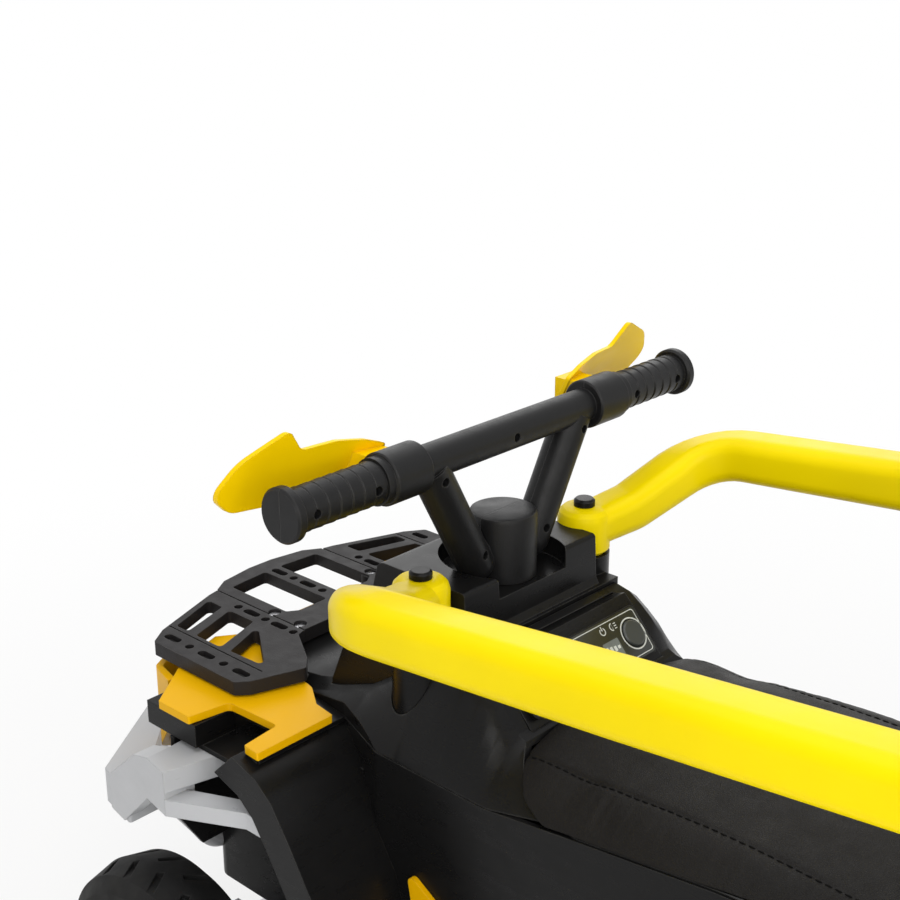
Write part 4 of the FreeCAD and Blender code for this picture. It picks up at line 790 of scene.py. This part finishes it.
def add_cushion():
    piece = add_object("seat_form", form_mesh())
    swell(piece)
    finer = piece.modifiers.new("Subdivision", "SUBSURF")
    finer.levels = subdivisions
    finer.render_levels = subdivisions
    fine = baked(piece)
    bpy.data.objects.remove(piece)
    sew(fine)
    smooth(fine)
    cushion = add_piece("seat_cushion", fine, "cover", "chassis")
    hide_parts("seat_pad")
    add_stitches(surface_tree([fine]))


# Control panel
def on_panel(across, up, out):
    """Point on the sloped panel: across to the rider's left, up the slope and out of its face."""
    middle = Vector(panel_middle) + Vector((column_x, 0.0, 0.0))
    return middle + Vector((0.0, across, 0.0)) + Vector(panel_up) * up + Vector(panel_out) * out


def ring(across, radius, count=40):
    """Circle round a key on the panel's middle line."""
    points = []
    for step in range(count):
        angle = 2.0 * math.pi * step / count
        points.append((across + radius * math.cos(angle), radius * math.sin(angle)))
    return points


def ring_line(across, radius, line):
    """Printed ring between two distances from a round key."""
    return [ring(across, radius + line[1]), ring(across, radius + line[0])]


def rounded_box(across, up, half_wide, half_high, radius, count=4):
    points = []
    for side_x, side_y, start in ((1, 1, 0), (-1, 1, 90), (-1, -1, 180), (1, -1, 270)):
        for step in range(count + 1):
            angle = math.radians(start + 90.0 * step / count)
            points.append((across + side_x * (half_wide - radius) + radius * math.cos(angle),
                           up + side_y * (half_high - radius) + radius * math.sin(angle)))
    return points


def panel_outline(inset, corner):
    """Outline of the panel, drawn in from its edge."""
    return rounded_box(0.0, 0.0, panel_half_width - inset, panel_half_height - inset, corner)


def sign_arc(across, start, end, count=16):
    """Closed outline of a bent bar at the height of the signs."""
    outer = []
    inner = []
    for step in range(count + 1):
        angle = math.radians(start + (end - start) * step / count)
        for points, radius in ((outer, sign_radius), (inner, sign_radius - sign_width)):
            points.append((across + radius * math.cos(angle), sign_up + radius * math.sin(angle)))
    return outer + inner[::-1]


def add_slab(body, loops, low, high):
    """Thin slab on the panel between two heights; the first loop is its outline, the others are holes."""
    rims = []
    for height in (low, high):
        edges = []
        rim = []
        for loop in loops:
            points = [body.verts.new(on_panel(across, up, height)) for across, up in loop]
            rim.append(points)
            for first, second in zip(points, points[1:] + points[:1]):
                edges.append(body.edges.new((first, second)))
        bmesh.ops.triangle_fill(body, use_beauty=True, use_dissolve=False, edges=edges)
        rims.append(rim)
    for bottom, top in zip(*rims):
        for step in range(len(bottom)):
            after = (step + 1) % len(bottom)
            body.faces.new((bottom[step], bottom[after], top[after], top[step]))


def panel_piece(name, slabs, low, high, look):
    body = bmesh.new()
    for loops in slabs:
        add_slab(body, loops, low, high)
    add_piece(name, finished(body, name), look, "chassis")


def panel_marks():
    """Lines round the keys and the border, a lamp, a power sign and the rocker's arrows."""
    marks = [ring_line(power_y, power_radius, power_line), ring_line(horn_y, horn_radius, horn_line)]
    marks.append([panel_outline(inset, corner) for inset, corner in zip(border_line, border_corners)])
    marks.append([sign_arc(lamp_sign_y, *lamp_sign_angles) + [(lamp_sign_y, sign_up + sign_radius)]])
    for lift in ray_lifts:
        marks.append([rounded_box(ray_y, sign_up + lift, *ray_half, sign_corner)])
    marks.append([sign_arc(power_sign_y, *power_sign_angles)])
    marks.append([rounded_box(power_sign_y, power_bar_up, *power_bar_half, sign_corner)])
    for sign in (1, -1):
        tip = sign * arrow_tip
        foot = sign * arrow_foot
        marks.append([[(rocker_y, tip), (rocker_y - arrow_half, foot), (rocker_y + arrow_half, foot)]])
    return marks


def gauge_marks():
    """Row of bars, each a little higher than the one before."""
    bars = []
    for step in range(gauge_bars):
        across = gauge_start_y + step * gauge_pitch
        half_high = gauge_half[1] + gauge_growth * step
        bars.append([rounded_box(across, window_middle[1], gauge_half[0], half_high, sign_corner)])
    return bars


def add_panel():
    holes = [ring(power_y, power_radius + key_gap), ring(horn_y, horn_radius + key_gap)]
    holes.append(rounded_box(rocker_y, 0.0, *rocker_half, rocker_corner))
    film = [[panel_outline(film_inset, film_corner)] + holes]
    window = [[rounded_box(*window_middle, *window_half, window_corner)]]
    panel_piece("panel_film", film, film_low, film_high, "film")
    panel_piece("panel_marks", panel_marks(), film_high, mark_high, "mark")
    panel_piece("panel_window", window, film_high, mark_high, "window")
    panel_piece("panel_gauge", gauge_marks(), mark_high, gauge_high, "mark")


# Floor, light and camera
def seen_directly(tree):
    """One for rays that see the background itself, straight or by a mirror or glass, and zero otherwise."""
    path = tree.nodes.new("ShaderNodeLightPath")
    seen = path.outputs["Is Camera Ray"]
    for kind in ("Is Glossy Ray", "Is Transmission Ray"):
        either = tree.nodes.new("ShaderNodeMath")
        either.operation = "MAXIMUM"
        tree.links.new(seen, either.inputs[0])
        tree.links.new(path.outputs[kind], either.inputs[1])
        seen = either.outputs[0]
    return seen


def mix_shaders(tree, share, first, second, output):
    mixer = tree.nodes.new("ShaderNodeMixShader")
    tree.links.new(share, mixer.inputs[0])
    tree.links.new(first.outputs[0], mixer.inputs[1])
    tree.links.new(second.outputs[0], mixer.inputs[2])
    tree.links.new(mixer.outputs[0], tree.nodes[output].inputs["Surface"])


def add_floor():
    bpy.ops.mesh.primitive_plane_add(size=floor_size, location=(0.0, 0.0, 0.0))
    floor = bpy.context.object
    floor.name = "floor"
    material = bpy.data.materials.new("floor white")
    material.use_nodes = True
    tree = material.node_tree
    shader = tree.nodes["Principled BSDF"]
    shader.inputs["Base Color"].default_value = opaque(floor_white)
    shader.inputs["Roughness"].default_value = floor_rough
    glow = tree.nodes.new("ShaderNodeEmission")
    glow.inputs["Strength"].default_value = 1.0
    spot = tree.nodes.new("ShaderNodeNewGeometry")
    length = tree.nodes.new("ShaderNodeVectorMath")
    length.operation = "LENGTH"
    tree.links.new(spot.outputs["Position"], length.inputs[0])
    fade = tree.nodes.new("ShaderNodeMapRange")
    fade.interpolation_type = "SMOOTHSTEP"
    fade.inputs["From Min"].default_value = glow_near[0]
    fade.inputs["From Max"].default_value = glow_far[0]
    fade.inputs["To Min"].default_value = glow_near[1]
    fade.inputs["To Max"].default_value = glow_far[1]
    tree.links.new(length.outputs["Value"], fade.inputs["Value"])
    both = tree.nodes.new("ShaderNodeMath")
    both.operation = "MULTIPLY"
    tree.links.new(seen_directly(tree), both.inputs[0])
    tree.links.new(fade.outputs["Result"], both.inputs[1])
    mix_shaders(tree, both.outputs[0], shader, glow, "Material Output")
    floor.data.materials.append(material)


def add_world():
    world = bpy.data.worlds.new("studio")
    bpy.context.scene.world = world
    world.use_nodes = True
    tree = world.node_tree
    soft = tree.nodes["Background"]
    soft.inputs["Color"].default_value = opaque(sky_white)
    soft.inputs["Strength"].default_value = sky_strength
    white = tree.nodes.new("ShaderNodeBackground")
    white.inputs["Color"].default_value = opaque(pure_white)
    white.inputs["Strength"].default_value = 1.0
    mix_shaders(tree, seen_directly(tree), soft, white, "World Output")


def add_lamp(name, place, target, side, power, colour):
    data = bpy.data.lights.new(name, "AREA")
    data.shape = "SQUARE"
    data.size = side
    data.energy = power
    data.color = colour
    lamp = add_object(name, data)
    lamp.location = place
    away = Vector(target) - Vector(place)
    lamp.rotation_euler = away.to_track_quat("-Z", "Y").to_euler()


def add_camera():
    data = bpy.data.cameras.new("camera")
    data.lens = camera_lens
    data.sensor_width = camera_sensor
    data.clip_start = camera_near
    data.clip_end = camera_far
    camera = add_object("camera", data)
    level = math.cos(camera_pitch)
    ahead = Vector((math.cos(camera_yaw) * level, math.sin(camera_yaw) * level, -math.sin(camera_pitch)))
    right = ahead.cross(Vector((0.0, 0.0, 1.0))).normalized()
    turn = Matrix((right, right.cross(ahead), -ahead)).transposed().to_4x4()
    place = Vector(camera_place) + Vector((column_x, 0.0, 0.0))
    camera.matrix_world = Matrix.Translation(place) @ turn
    bpy.context.scene.camera = camera


dress()
add_cushion()
add_panel()
add_floor()
add_world()
for lamp in lamps:
    add_lamp(*lamp)
add_camera()
bpy.context.scene.view_settings.view_transform = "Standard"
